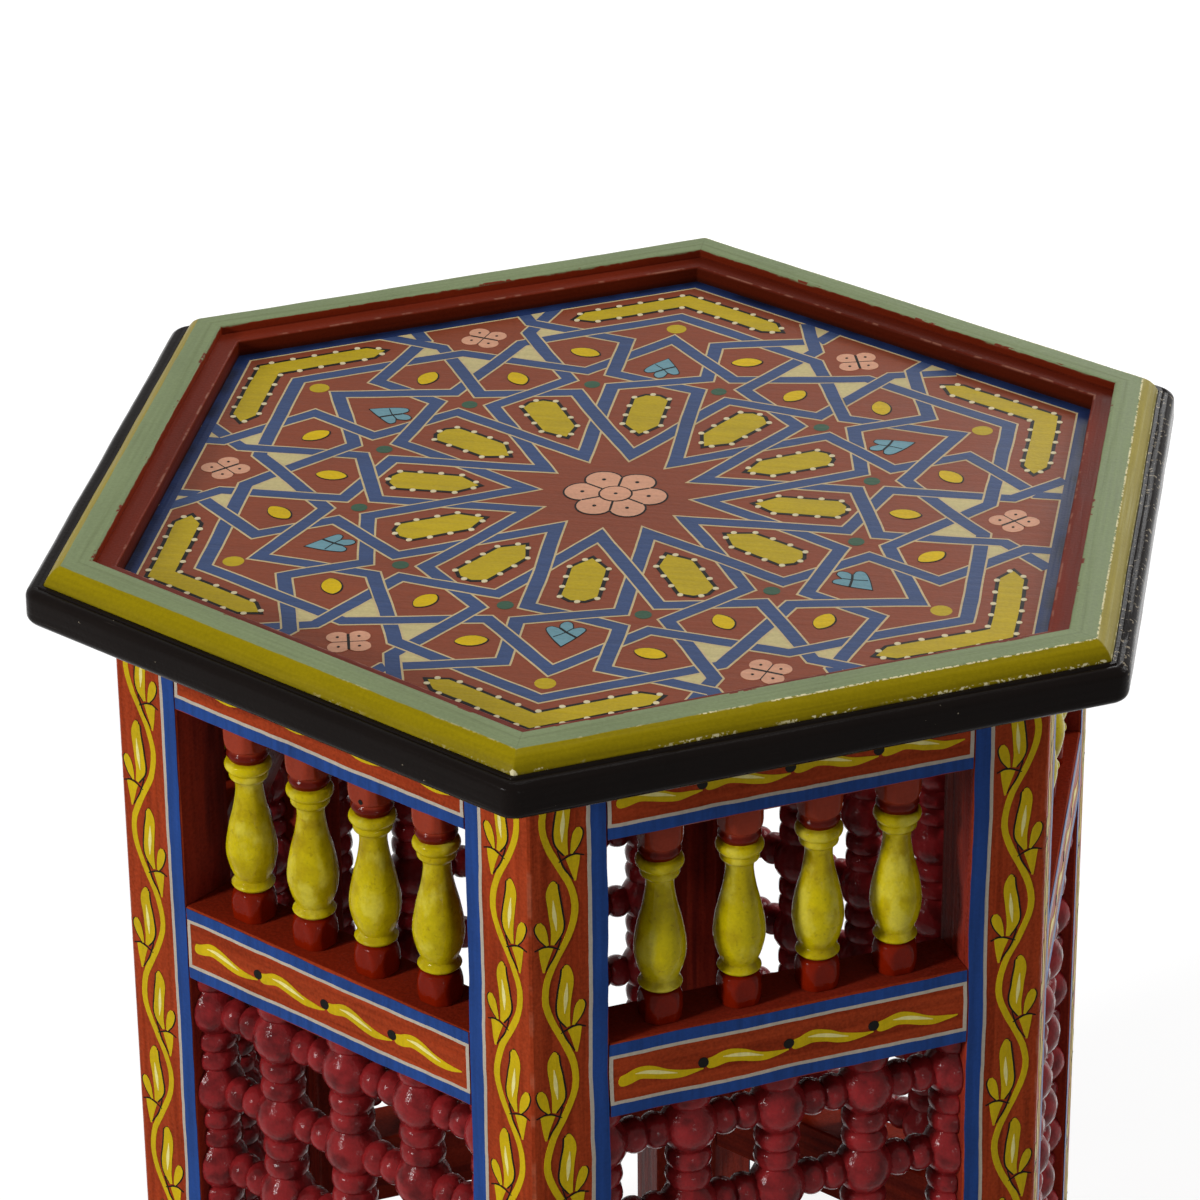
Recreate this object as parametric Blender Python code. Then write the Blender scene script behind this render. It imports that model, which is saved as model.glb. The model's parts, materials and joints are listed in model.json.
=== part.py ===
"""Hexagonal painted side table.

A sunken panel lies inside a stepped rim with a rounded edge moulding. It stands on six corner posts
tied together by three rails a side. Turned spindles fill the upper openings, and a lattice of turned
bars fills the lower ones. Metres, +Z up: the floor is z = 0 and the table's axis is x = y = 0.
"""
import math

import bmesh
import bpy
from mathutils import Matrix, Vector

# The body: posts and rails
TABLE = "table"
SIDES = 6
GLUE_GAP = 0.0003            # left between any two pieces that meet
EDGE_EASE = 0.0006           # small flat planed along the edges of posts and rails
OPENING_WIDTH = 0.1268       # between the two posts of a side
STILE_WIDTH = 0.0266         # face of a post on each side of its arris
POST_DEPTH = 0.0230
RAIL_DEPTH = 0.0220          # tenons, spindles and lattices stand on the rails' middle line
FOOT_HEIGHT = 0.0784         # floor to the underside of the bottom rails
BOTTOM_RAIL_HEIGHT = 0.0286
LATTICE_HEIGHT = 0.1902
MID_RAIL_HEIGHT = 0.0286
GALLERY_HEIGHT = 0.0758      # the opening that holds the spindles
TOP_RAIL_HEIGHT = 0.0286

# Mortise and tenon between rails and posts
TENON_THICKNESS = 0.0090
TENON_LENGTH = 0.0100
TENON_SHOULDER = 0.0050      # the tenon is this much lower than its rail, above and below

# The top: panel, rim and edge moulding
TOP_OVERHANG = 0.0260        # outer face of a side to the outermost line of the moulding
PANEL_THICKNESS = 0.0102
PANEL_TONGUE = 0.0100        # how far the panel runs in under the rim
PANEL_REBATE = 0.0030        # step from the panel's face down to its tongue
LEDGE_RISE = 0.0060          # panel up to the ledge inside the rim
LEDGE_WIDTH = 0.0071
RIM_RISE = 0.0035            # ledge up to the rim's flat
RIM_FLAT = 0.0095
RIM_EASE = 0.0004            # worn edges of the rim's flat
SLOPE_WIDTH = 0.0052         # sloping outer edge of the rim, seen from above
SLOPE_DROP = 0.0061
SLOPE_SWELL = 0.0005         # how far the slope bulges out
NOSE_REACH = 0.0061          # moulding beyond the foot of the slope
NOSE_ROUND = 0.0036
NOSE_CORNER_ROUND = 0.0070   # moulding's corners seen from above
MITRE_ROUND = 0.0006
CORNER_STEPS = 2
ROUND_STEPS = 4
SMOOTH_ANGLE = math.radians(40)

# Turned spindles
SPINDLE_SIDES = 10
SPINDLE_SPACING = 0.0277     # nearest spacing that fills the opening evenly is used
SPINDLE_MARGIN = 0.0219      # post to the axis of the first spindle
BLOCK_WIDTH = 0.0134         # square ends left by the turner
HEAD_HEIGHT = 0.0110
BASE_HEIGHT = 0.0112
POMMEL = 0.0016              # rounded-off end of a square block
NECK_BEAD_DIAMETER = 0.0142
NECK_BEAD_HEIGHT = 0.0040
COLLAR_DIAMETER = 0.0164
COLLAR_HEIGHT = 0.0056
WAIST_DIAMETER = 0.0112
BULB_DIAMETER = 0.0176
BULB_LIFT = 0.0090           # lower collar to the widest line of the bulb
BULB_SEAT_DIAMETER = 0.0130  # bulb where it meets the lower collar
PEG_WIDTH = 0.0080
PEG_LENGTH = 0.0060

# Lattice of turned bars
BAR_SPACING = 0.0317         # nearest spacing that fills the opening evenly is used
LATTICE_THICKNESS = 0.0160
UPRIGHT_WIDTH = 0.0140       # an upright bar at its slimmest
LEVEL_WIDTH = 0.0100         # a level bar at its slimmest
KNOT_WIDTH = 0.0220          # a crossing measured from corner cut to corner cut
LATTICE_PEG_WIDTH = 0.0060
LATTICE_PEG_LENGTH = 0.0050

# Places worked out from the sizes
HALF_ANGLE = math.pi / SIDES
BODY_APOTHEM = (OPENING_WIDTH / 2 + STILE_WIDTH) / math.tan(HALF_ANGLE)
RAIL_MIDDLE = RAIL_DEPTH / 2 - BODY_APOTHEM
BOTTOM_RAIL_TOP = FOOT_HEIGHT + BOTTOM_RAIL_HEIGHT
MID_RAIL_LOW = BOTTOM_RAIL_TOP + LATTICE_HEIGHT
MID_RAIL_TOP = MID_RAIL_LOW + MID_RAIL_HEIGHT
TOP_RAIL_LOW = MID_RAIL_TOP + GALLERY_HEIGHT
BODY_TOP = TOP_RAIL_LOW + TOP_RAIL_HEIGHT
PANEL_LOW = BODY_TOP + GLUE_GAP
PANEL_TOP = PANEL_LOW + PANEL_THICKNESS
TONGUE_TOP = PANEL_TOP - PANEL_REBATE
LEDGE_TOP = PANEL_TOP + LEDGE_RISE
TABLE_TOP = LEDGE_TOP + RIM_RISE
NOSE_OUT = BODY_APOTHEM + TOP_OVERHANG
SLOPE_OUT = NOSE_OUT - NOSE_REACH
FLAT_OUT = SLOPE_OUT - SLOPE_WIDTH
FLAT_IN = FLAT_OUT - RIM_FLAT
RECESS = FLAT_IN - LEDGE_WIDTH
PANEL_OUT = RECESS + PANEL_TONGUE
NOSE_TOP = TABLE_TOP - SLOPE_DROP
SPINDLE_RUN = OPENING_WIDTH - 2 * SPINDLE_MARGIN
SPINDLE_STEPS = max(1, round(SPINDLE_RUN / SPINDLE_SPACING))
GAPS_ACROSS = max(2, round(OPENING_WIDTH / BAR_SPACING))
BARS_UP = max(1, round(LATTICE_HEIGHT / BAR_SPACING))
BAR_PITCH = OPENING_WIDTH / GAPS_ACROSS
ROW_PITCH = LATTICE_HEIGHT / BARS_UP


def clear_scene():
    for item in list(bpy.data.objects):
        bpy.data.objects.remove(item)


def paint(name, colour, roughness):
    material = bpy.data.materials.new(name)
    material.use_nodes = True
    shader = material.node_tree.nodes["Principled BSDF"]
    shader.inputs["Base Color"].default_value = (*colour, 1.0)
    shader.inputs["Roughness"].default_value = roughness
    shader.inputs["Metallic"].default_value = 0.0
    return material


def mesh_from(name, build):
    """A mesh whose faces point out, filled by build(bm)."""
    bm = bmesh.new()
    build(bm)
    bmesh.ops.recalc_face_normals(bm, faces=bm.faces)
    mesh = bpy.data.meshes.new(name)
    bm.to_mesh(mesh)
    bm.free()
    return mesh


def add_loops(bm, loops, joined):
    """Skin a row of point loops of equal length; a joined row closes on itself, another is capped."""
    rows = [[bm.verts.new(point) for point in loop] for loop in loops]
    count = len(rows[0])
    pairs = list(zip(rows, rows[1:]))
    if joined:
        pairs.append((rows[-1], rows[0]))
    else:
        bm.faces.new(rows[0])
        bm.faces.new(rows[-1])
    for lower, upper in pairs:
        for i in range(count):
            j = (i + 1) % count
            bm.faces.new((lower[i], lower[j], upper[j], upper[i]))


def add_box(bm, low, high, turn=Matrix.Identity(4)):
    corners = [(low[0], low[1]), (high[0], low[1]), (high[0], high[1]), (low[0], high[1])]
    loops = [[turn @ Vector((x, y, z)) for x, y in corners] for z in (low[2], high[2])]
    add_loops(bm, loops, joined=False)


def add_turned(bm, profile, sides, phase=0.0):
    """A solid of revolution about Z from rings of (radius, height)."""
    angles = [phase + 2 * math.pi * i / sides for i in range(sides)]
    loops = [[Vector((r * math.cos(a), r * math.sin(a), z)) for a in angles] for r, z in profile]
    add_loops(bm, loops, joined=False)


def add_square_turned(bm, profile):
    """As add_turned, but square: rings of (width, height)."""
    add_turned(bm, [(width / math.sqrt(2), z) for width, z in profile], 4, math.pi / 4)


def boolean(target, tool_mesh, operation):
    """Cut or join the tool into the target's mesh for good."""
    tool = bpy.data.objects.new("tool", tool_mesh)
    bpy.context.scene.collection.objects.link(tool)
    modifier = target.modifiers.new(operation.lower(), "BOOLEAN")
    modifier.operation = operation
    modifier.solver = "EXACT"
    modifier.object = tool
    graph = bpy.context.evaluated_depsgraph_get()
    result = bpy.data.meshes.new_from_object(target.evaluated_get(graph))
    target.modifiers.clear()
    target.data = result
    bpy.data.objects.remove(tool)


def solid(mesh, joins=(), cuts=()):
    """The mesh after its joins and cuts."""
    work = bpy.data.objects.new("work", mesh)
    bpy.context.scene.collection.objects.link(work)
    for tool in joins:
        boolean(work, tool, "UNION")
    for tool in cuts:
        boolean(work, tool, "DIFFERENCE")
    result = work.data
    bpy.data.objects.remove(work)
    return result


def place(name, mesh, material, turn=0.0, location=(0.0, 0.0, 0.0)):
    """One named object of the table, turned about Z."""
    item = bpy.data.objects.new(name, mesh)
    if not mesh.materials:
        mesh.materials.append(material)
    item.location = location
    item.rotation_euler = (0.0, 0.0, turn)
    item.parent = bpy.data.objects[TABLE]
    bpy.context.scene.collection.objects.link(item)
    return item


def eased(outline, ease):
    """An outline with a small flat in place of each corner."""
    points = [Vector(point) for point in outline]
    result = []
    for i, point in enumerate(points):
        for other in (points[i - 1], points[(i + 1) % len(points)]):
            result.append(point + (other - point).normalized() * ease)
    return result


def side_turn(side):
    """Turn of a side modelled facing -Y, with side 0 next to the front corner, to its right."""
    return HALF_ANGLE + side * 2 * math.pi / SIDES


def polar(radius, angle, height=0.0):
    return Vector((radius * math.cos(angle), radius * math.sin(angle), height))


def corner_angle(corner):
    """Direction of a corner; corner 0 is the front one, towards -Y."""
    return -math.pi / 2 + corner * 2 * math.pi / SIDES


def hexagon(apothem, height):
    return [polar(apothem / math.cos(HALF_ANGLE), corner_angle(corner), height) for corner in range(SIDES)]


def round_hexagon(apothem, height, corner_round):
    """A hexagon with rounded corners."""
    points = []
    for corner, centre in enumerate(hexagon(apothem - corner_round, height)):
        for step in range(CORNER_STEPS + 1):
            turn = HALF_ANGLE * (2 * step / CORNER_STEPS - 1)
            points.append(centre + polar(corner_round, corner_angle(corner) + turn))
    return points


def arc(centre, radius, start, end):
    """Points (apothem, height) on an arc, angles in degrees."""
    points = []
    for step in range(ROUND_STEPS + 1):
        angle = math.radians(start + (end - start) * step / ROUND_STEPS)
        points.append((centre[0] + radius * math.cos(angle), centre[1] + radius * math.sin(angle)))
    return points


def rim_slope():
    """The rim's sloping edge, from the flat down to the moulding, a little swollen."""
    points = []
    length = math.hypot(SLOPE_WIDTH, SLOPE_DROP)
    for step in range(1, ROUND_STEPS):
        share = step / ROUND_STEPS
        swell = SLOPE_SWELL * math.sin(math.pi * share)
        out = FLAT_OUT + SLOPE_WIDTH * share + swell * SLOPE_DROP / length
        points.append((out, TABLE_TOP - SLOPE_DROP * share + swell * SLOPE_WIDTH / length))
    return points


def build_rim(bm):
    """The rim's six mitred lengths, glued up: ledge inside, flat on top, slope outside."""
    low = TONGUE_TOP + GLUE_GAP
    profile = [(RECESS, low), (RECESS, LEDGE_TOP - RIM_EASE), (RECESS + RIM_EASE, LEDGE_TOP)]
    profile += [(FLAT_IN, LEDGE_TOP), (FLAT_IN, TABLE_TOP - RIM_EASE), (FLAT_IN + RIM_EASE, TABLE_TOP)]
    profile += [(FLAT_OUT, TABLE_TOP)] + rim_slope() + [(SLOPE_OUT, NOSE_TOP), (SLOPE_OUT, low)]
    add_loops(bm, [hexagon(a, z) for a, z in profile], joined=True)


def build_moulding(bm):
    """The rounded edge moulding, rebated for the rim and wrapped round the panel's edge."""
    inner = PANEL_OUT + GLUE_GAP
    rebate = SLOPE_OUT + GLUE_GAP
    centre = NOSE_OUT - NOSE_ROUND
    nose = arc((centre, NOSE_TOP - NOSE_ROUND), NOSE_ROUND, 90, 0)
    nose += arc((centre, PANEL_LOW + NOSE_ROUND), NOSE_ROUND, 0, -90)
    plain = [(inner, PANEL_LOW), (inner, TONGUE_TOP), (rebate, TONGUE_TOP), (rebate, NOSE_TOP)]
    loops = [round_hexagon(a, z, MITRE_ROUND) for a, z in plain]
    loops += [round_hexagon(a, z, NOSE_CORNER_ROUND) for a, z in nose]
    add_loops(bm, loops, joined=True)


def build_panel(bm):
    """A board whose edge is rebated to a tongue, so that its face just fills the rim."""
    field = RECESS - GLUE_GAP
    profile = [(PANEL_OUT, PANEL_LOW), (PANEL_OUT, TONGUE_TOP), (field, TONGUE_TOP), (field, PANEL_TOP)]
    add_loops(bm, [hexagon(a, z) for a, z in profile], joined=False)


def build_post(bm):
    """A post at the front corner: two faces, square returns into the openings, a hollow back."""
    arris = Vector((0.0, -BODY_APOTHEM / math.cos(HALF_ANGLE)))
    along = Vector((math.cos(HALF_ANGLE), math.sin(HALF_ANGLE)))
    inward = Vector((-math.sin(HALF_ANGLE), math.cos(HALF_ANGLE)))
    right = [arris + along * STILE_WIDTH]
    right.append(right[0] + inward * POST_DEPTH)
    back = arris + Vector((0.0, POST_DEPTH / math.cos(HALF_ANGLE)))
    left = [Vector((-point.x, point.y)) for point in reversed(right)]
    outline = eased([arris] + right + [back] + left, EDGE_EASE)
    add_loops(bm, [[point.to_3d() + Vector((0.0, 0.0, z)) for point in outline] for z in (0.0, BODY_TOP)],
              joined=False)


def tenon_box(bm, rail_low, rail_high, length, clearance, turn=Matrix.Identity(4)):
    """Both tenons of a rail as one bar through it, swollen by a clearance."""
    reach = OPENING_WIDTH / 2 + length + clearance
    half = TENON_THICKNESS / 2 + clearance
    drop = TENON_SHOULDER - clearance
    low = (-reach, RAIL_MIDDLE - half, rail_low + drop)
    add_box(bm, low, (reach, RAIL_MIDDLE + half, rail_high - drop), turn)


def rail_spans():
    return {
        "top": (TOP_RAIL_LOW, BODY_TOP),
        "mid": (MID_RAIL_LOW, MID_RAIL_TOP),
        "bottom": (FOOT_HEIGHT, BOTTOM_RAIL_TOP),
    }


def mortise_tools(span, turn):
    """The hollow that one rail's tenons need, in the posts of a turned side."""
    low, high = span
    return mesh_from("mortise", lambda bm: tenon_box(bm, low, high, TENON_LENGTH, GLUE_GAP, turn))


def post_mesh():
    cuts = []
    for span in rail_spans().values():
        for side in (0, -1):
            cuts.append(mortise_tools(span, Matrix.Rotation(side_turn(side), 4, "Z")))
    return solid(mesh_from("post", build_post), cuts=cuts)


def build_rail(bm, low, high):
    front = -BODY_APOTHEM
    outline = eased([(front, low), (front + RAIL_DEPTH, low), (front + RAIL_DEPTH, high), (front, high)],
                    EDGE_EASE)
    reach = OPENING_WIDTH / 2 - GLUE_GAP
    add_loops(bm, [[Vector((x, point.x, point.y)) for point in outline] for x in (-reach, reach)],
              joined=False)


def spindle_places():
    return [(i / SPINDLE_STEPS - 0.5) * SPINDLE_RUN for i in range(SPINDLE_STEPS + 1)]


def bar_places():
    """Middles of the whole upright bars; a half bar more stands against each post."""
    return [(i - GAPS_ACROSS / 2) * BAR_PITCH for i in range(1, GAPS_ACROSS)]


def add_pegs(bm, places, width, low, high):
    near, far = RAIL_MIDDLE - width / 2, RAIL_MIDDLE + width / 2
    for x in places:
        add_box(bm, (x - width / 2, near, low), (x + width / 2, far, high))


def socket_tools(places, width, length, surface, into):
    """Square sockets in a rail's surface; into is 1 for a socket going up and -1 for one going down."""
    deep = surface + into * (length + GLUE_GAP)
    clear = surface - into * GLUE_GAP
    low, high = min(deep, clear), max(deep, clear)
    return mesh_from("sockets", lambda bm: add_pegs(bm, places, width + 2 * GLUE_GAP, low, high))


def spindle_sockets(surface, into):
    return socket_tools(spindle_places(), PEG_WIDTH, PEG_LENGTH, surface, into)


def lattice_sockets(surface, into):
    return socket_tools(bar_places(), LATTICE_PEG_WIDTH, LATTICE_PEG_LENGTH, surface, into)


def rail_mesh(kind):
    low, high = rail_spans()[kind]
    sockets = {
        "top": [lambda: spindle_sockets(low, 1)],
        "mid": [lambda: spindle_sockets(high, -1), lambda: lattice_sockets(low, 1)],
        "bottom": [lambda: lattice_sockets(high, -1)],
    }
    board = mesh_from("rail", lambda bm: build_rail(bm, low, high))
    tenons = mesh_from("tenons", lambda bm: tenon_box(bm, low, high, TENON_LENGTH, 0.0))
    return solid(board, joins=[tenons], cuts=[make() for make in sockets[kind]])


def spindle_core():
    """The turned stretch between the two square blocks, as rings from the base up."""
    collar_low = BASE_HEIGHT
    bulb_low = collar_low + COLLAR_HEIGHT
    neck_top = GALLERY_HEIGHT - HEAD_HEIGHT
    collar_top = neck_top - NECK_BEAD_HEIGHT
    waist = collar_top - COLLAR_HEIGHT
    widest = bulb_low + BULB_LIFT
    shoulder = (widest + waist) / 2
    shoulder_diameter = (BULB_DIAMETER + WAIST_DIAMETER) / 2
    rings = [(PEG_WIDTH, collar_low / 2), (NECK_BEAD_DIAMETER, collar_low)]
    rings += [(COLLAR_DIAMETER, collar_low + COLLAR_HEIGHT / 2), (BULB_SEAT_DIAMETER, bulb_low)]
    rings += [(BULB_DIAMETER, widest), (shoulder_diameter, shoulder), (WAIST_DIAMETER, waist)]
    rings += [(COLLAR_DIAMETER, waist + COLLAR_HEIGHT / 2), (NECK_BEAD_DIAMETER, collar_top)]
    rings += [(NECK_BEAD_DIAMETER, neck_top), (PEG_WIDTH, neck_top + HEAD_HEIGHT / 2)]
    return [(diameter / 2, z) for diameter, z in rings]


def block_rings(outer, inner, peg_end):
    """A square block from its pegged outer end to its rounded-off inner end."""
    way = 1 if inner > outer else -1
    pommel_width = BLOCK_WIDTH - POMMEL
    return [(PEG_WIDTH, peg_end), (PEG_WIDTH, outer), (BLOCK_WIDTH, outer),
            (BLOCK_WIDTH, inner - way * POMMEL), (pommel_width, inner)]


def spindle_mesh():
    low, high = GLUE_GAP, GALLERY_HEIGHT - GLUE_GAP
    base = block_rings(low, BASE_HEIGHT, -PEG_LENGTH)
    head = block_rings(high, GALLERY_HEIGHT - HEAD_HEIGHT, GALLERY_HEIGHT + PEG_LENGTH)
    core = mesh_from("core", lambda bm: add_turned(bm, spindle_core(), SPINDLE_SIDES))
    foot = mesh_from("base", lambda bm: add_square_turned(bm, base))
    cap = mesh_from("head", lambda bm: add_square_turned(bm, head))
    mesh = solid(core, joins=[foot, cap])
    mesh.shade_smooth()
    mesh.set_sharp_from_angle(angle=SMOOTH_ANGLE)
    return mesh


def lattice_gap():
    """The eight-cornered gap between four crossings, about its own middle."""
    across = (BAR_PITCH - UPRIGHT_WIDTH) / 2
    up = (ROW_PITCH - LEVEL_WIDTH) / 2
    cut = (BAR_PITCH + ROW_PITCH) / 2 - KNOT_WIDTH / math.sqrt(2)
    quarter = [(across, cut - across), (cut - up, up)]
    half = quarter + [(-x, z) for x, z in reversed(quarter)]
    return half + [(-x, -z) for x, z in half]


def lattice_mesh():
    """A panel of crossing bars: a plate pierced at every gap, half gaps along the rails, with end pegs."""
    front, back = RAIL_MIDDLE - LATTICE_THICKNESS / 2, RAIL_MIDDLE + LATTICE_THICKNESS / 2
    half_width = OPENING_WIDTH / 2 - GLUE_GAP
    low, high = BOTTOM_RAIL_TOP + GLUE_GAP, MID_RAIL_LOW - GLUE_GAP
    plate = mesh_from("lattice", lambda bm: add_box(bm, (-half_width, front, low), (half_width, back, high)))

    def build_gaps(bm):
        ends = (front - GLUE_GAP, back + GLUE_GAP)
        for column in range(GAPS_ACROSS):
            for row in range(BARS_UP + 1):
                x = (column - (GAPS_ACROSS - 1) / 2) * BAR_PITCH
                z = BOTTOM_RAIL_TOP + row * ROW_PITCH
                loops = [[Vector((x + a, y, z + b)) for a, b in lattice_gap()] for y in ends]
                add_loops(bm, loops, joined=False)

    def build_pegs(bm):
        ends = (BOTTOM_RAIL_TOP - LATTICE_PEG_LENGTH, MID_RAIL_LOW + LATTICE_PEG_LENGTH)
        inner = (low + LATTICE_PEG_LENGTH, high - LATTICE_PEG_LENGTH)
        add_pegs(bm, bar_places(), LATTICE_PEG_WIDTH, ends[0], inner[0])
        add_pegs(bm, bar_places(), LATTICE_PEG_WIDTH, inner[1], ends[1])

    return solid(plate, joins=[mesh_from("pegs", build_pegs)], cuts=[mesh_from("gaps", build_gaps)])


def build_top():
    sage = paint("sage_paint", (0.238, 0.305, 0.188), 0.40)
    black = paint("black_paint", (0.008, 0.006, 0.006), 0.22)
    brick = paint("brick_paint", (0.262, 0.050, 0.030), 0.35)
    moulding = mesh_from("edge_moulding", build_moulding)
    moulding.shade_smooth()
    moulding.set_sharp_from_angle(angle=SMOOTH_ANGLE)
    place("rim_frame", mesh_from("rim_frame", build_rim), sage)
    place("edge_moulding", moulding, black)
    place("top_panel", mesh_from("top_panel", build_panel), brick)


def build_body():
    red = paint("red_paint", (0.330, 0.050, 0.025), 0.35)
    post = post_mesh()
    for corner in range(SIDES):
        place(f"post_{corner + 1}", post, red, corner * 2 * math.pi / SIDES)
    for kind in rail_spans():
        mesh = rail_mesh(kind)
        for side in range(SIDES):
            place(f"{kind}_rail_{side + 1}", mesh, red, side_turn(side))


def build_fillings():
    yellow = paint("yellow_paint", (0.515, 0.376, 0.020), 0.25)
    maroon = paint("maroon_paint", (0.130, 0.016, 0.016), 0.30)
    spindle = spindle_mesh()
    lattice = lattice_mesh()
    for side in range(SIDES):
        turn = Matrix.Rotation(side_turn(side), 4, "Z")
        place(f"lattice_{side + 1}", lattice, maroon, side_turn(side))
        for i, x in enumerate(spindle_places()):
            foot = turn @ Vector((x, RAIL_MIDDLE, MID_RAIL_TOP))
            place(f"spindle_{side + 1}_{i + 1}", spindle, yellow, side_turn(side), foot)


def main():
    clear_scene()
    bpy.context.scene.collection.objects.link(bpy.data.objects.new(TABLE, None))
    build_top()
    build_body()
    build_fillings()


main()
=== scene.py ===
"""Finish of a hexagonal painted side table.

The posts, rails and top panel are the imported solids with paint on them. The rim, edge moulding, spindles and
lattices are finer pieces that stand for their solids. The painted pattern is laid on as thin coats of paint.
Metres, +Z up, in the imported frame.
"""
import itertools
import json
import math

import bmesh
import bpy
from mathutils import Matrix, Vector, noise

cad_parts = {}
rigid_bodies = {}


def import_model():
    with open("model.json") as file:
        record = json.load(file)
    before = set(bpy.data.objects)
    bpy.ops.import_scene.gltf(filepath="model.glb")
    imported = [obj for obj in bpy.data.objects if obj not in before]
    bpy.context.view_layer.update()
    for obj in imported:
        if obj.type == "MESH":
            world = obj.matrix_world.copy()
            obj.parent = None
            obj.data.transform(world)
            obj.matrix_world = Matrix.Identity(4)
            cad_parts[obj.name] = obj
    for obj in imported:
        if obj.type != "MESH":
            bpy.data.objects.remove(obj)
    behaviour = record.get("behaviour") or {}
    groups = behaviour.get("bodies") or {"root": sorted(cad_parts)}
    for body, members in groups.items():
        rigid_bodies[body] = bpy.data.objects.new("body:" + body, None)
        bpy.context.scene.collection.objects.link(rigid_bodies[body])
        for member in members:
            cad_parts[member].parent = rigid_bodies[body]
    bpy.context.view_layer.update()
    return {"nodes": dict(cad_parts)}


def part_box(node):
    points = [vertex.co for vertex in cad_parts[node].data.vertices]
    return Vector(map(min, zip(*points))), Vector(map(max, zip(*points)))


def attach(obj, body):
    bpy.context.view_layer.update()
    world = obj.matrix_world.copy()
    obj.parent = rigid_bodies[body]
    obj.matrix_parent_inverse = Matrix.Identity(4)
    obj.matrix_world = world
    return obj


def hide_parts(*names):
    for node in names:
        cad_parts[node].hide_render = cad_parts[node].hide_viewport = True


for leftover in list(bpy.data.objects):
    bpy.data.objects.remove(leftover)
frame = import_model()

# Sizes of the table that the finish follows
SIDES = 6
TAU = 2 * math.pi
TURN = TAU / SIDES
HALF_TURN = TURN / 2
BODY_APOTHEM = 0.155885
OPENING_HALF = 0.0634
STILE_WIDTH = 0.0266
RAIL_MIDDLE = 0.0110 - BODY_APOTHEM
FOOT_TOP = 0.0784
RAIL_HEIGHT = 0.0286
BOTTOM_RAIL_TOP = FOOT_TOP + RAIL_HEIGHT
MID_RAIL_LOW = 0.2972
MID_RAIL_TOP = MID_RAIL_LOW + RAIL_HEIGHT
TOP_RAIL_LOW = 0.4016
BODY_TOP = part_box("post_1")[1].z
PANEL_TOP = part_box("top_panel")[1].z
TABLE_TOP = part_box("rim_frame")[1].z
RECESS = 0.153985
FLAT_IN = 0.161085
FLAT_OUT = 0.170585
SLOPE_OUT = 0.175785
NOSE_OUT = 0.181885
LEDGE_TOP = PANEL_TOP + 0.0060
NOSE_TOP = TABLE_TOP - 0.0061
PANEL_LOW = 0.4305
TONGUE_TOP = PANEL_TOP - 0.0030
GLUE_GAP = 0.0003

# Paint colours, linear
BRICK = (0.206, 0.049, 0.022)
STRAP_BLUE = (0.040, 0.066, 0.152)
BORDER_BLUE = (0.016, 0.034, 0.112)
BORDER_CORNER_SHADE = (0.004, 0.006, 0.018)
CREAM = (0.505, 0.395, 0.213)
MUSTARD = (0.425, 0.306, 0.010)
YOLK = (0.570, 0.384, 0.003)
BLACK = (0.005, 0.004, 0.003)
EDGE_BLACK = (0.0075, 0.0050, 0.0042)
PINK = (0.580, 0.296, 0.188)
STEEL = (0.132, 0.265, 0.310)
GREEN = (0.036, 0.085, 0.050)
STRAW = (0.505, 0.425, 0.205)
DOT_CREAM = (0.620, 0.540, 0.340)
SAGE = (0.205, 0.252, 0.128)
SAGE_DARK = (0.165, 0.200, 0.098)
OLIVE_YELLOW = (0.280, 0.212, 0.003)
SLOPE_SHADE = (0.150, 0.115, 0.003)
RIM_RED = (0.150, 0.018, 0.007)
RIM_HIGH = (0.175, 0.019, 0.005)
RIM_LOW = (0.096, 0.011, 0.003)
RIM_FOOT_SHADE = (0.022, 0.006, 0.004)
BODY_RED = (0.320, 0.043, 0.012)
BODY_DARK = (0.210, 0.023, 0.006)
MAROON = (0.235, 0.024, 0.012)
UPWARD_LIT_RED = (0.260, 0.022, 0.007)
BODY_BLUE = (0.014, 0.052, 0.215)
WHITE_LINE = (0.470, 0.410, 0.330)
LEAF_YELLOW = (0.570, 0.400, 0.004)
LEAF_LIGHT = (0.800, 0.720, 0.280)
SPINDLE_YELLOW = (0.580, 0.465, 0.003)
SPINDLE_OLIVE_AND_SHADE = (0.340, 0.240, 0.003)
SPINDLE_SHEEN = (0.700, 0.620, 0.085)
FOOT_RED = (0.190, 0.009, 0.0008)
HEAD_RED_LIT = (0.270, 0.033, 0.013)
BEAD_RED = (0.125, 0.008, 0.003)
LATTICE_MAROON = (0.255, 0.016, 0.018)
LATTICE_POOLED = (0.105, 0.007, 0.008)
CHIP = (0.740, 0.670, 0.400)
WORN_RED = (0.300, 0.130, 0.085)
WORN_BODY = (0.400, 0.130, 0.070)
REFLECTED_YELLOW = (0.480, 0.430, 0.200)
JOINT_DARK = (0.060, 0.060, 0.030)
MAROON_DARK = (0.085, 0.010, 0.009)
SCRATCH_GREY = (0.040, 0.032, 0.025)
SPECK_AND_GLINT_GREY = (0.260, 0.220, 0.160)
SPINDLE_SMEAR = (0.250, 0.090, 0.008)
SPINDLE_DIRT = (0.170, 0.100, 0.006)
CRAZE_BROWN = (0.095, 0.018, 0.012)


class Flow:
    """A value or colour on its way through a finish's nodes."""

    def __init__(self, finish, socket):
        self.finish = finish
        self.socket = socket

    def maths(self, operation, *others):
        return self.finish.maths(operation, self, *others)

    def __add__(self, other):
        return self.maths("ADD", other)

    __radd__ = __add__

    def __sub__(self, other):
        return self.maths("SUBTRACT", other)

    def __rsub__(self, other):
        return self.finish.maths("SUBTRACT", other, self)

    def __mul__(self, other):
        return self.maths("MULTIPLY", other)

    __rmul__ = __mul__


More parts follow.
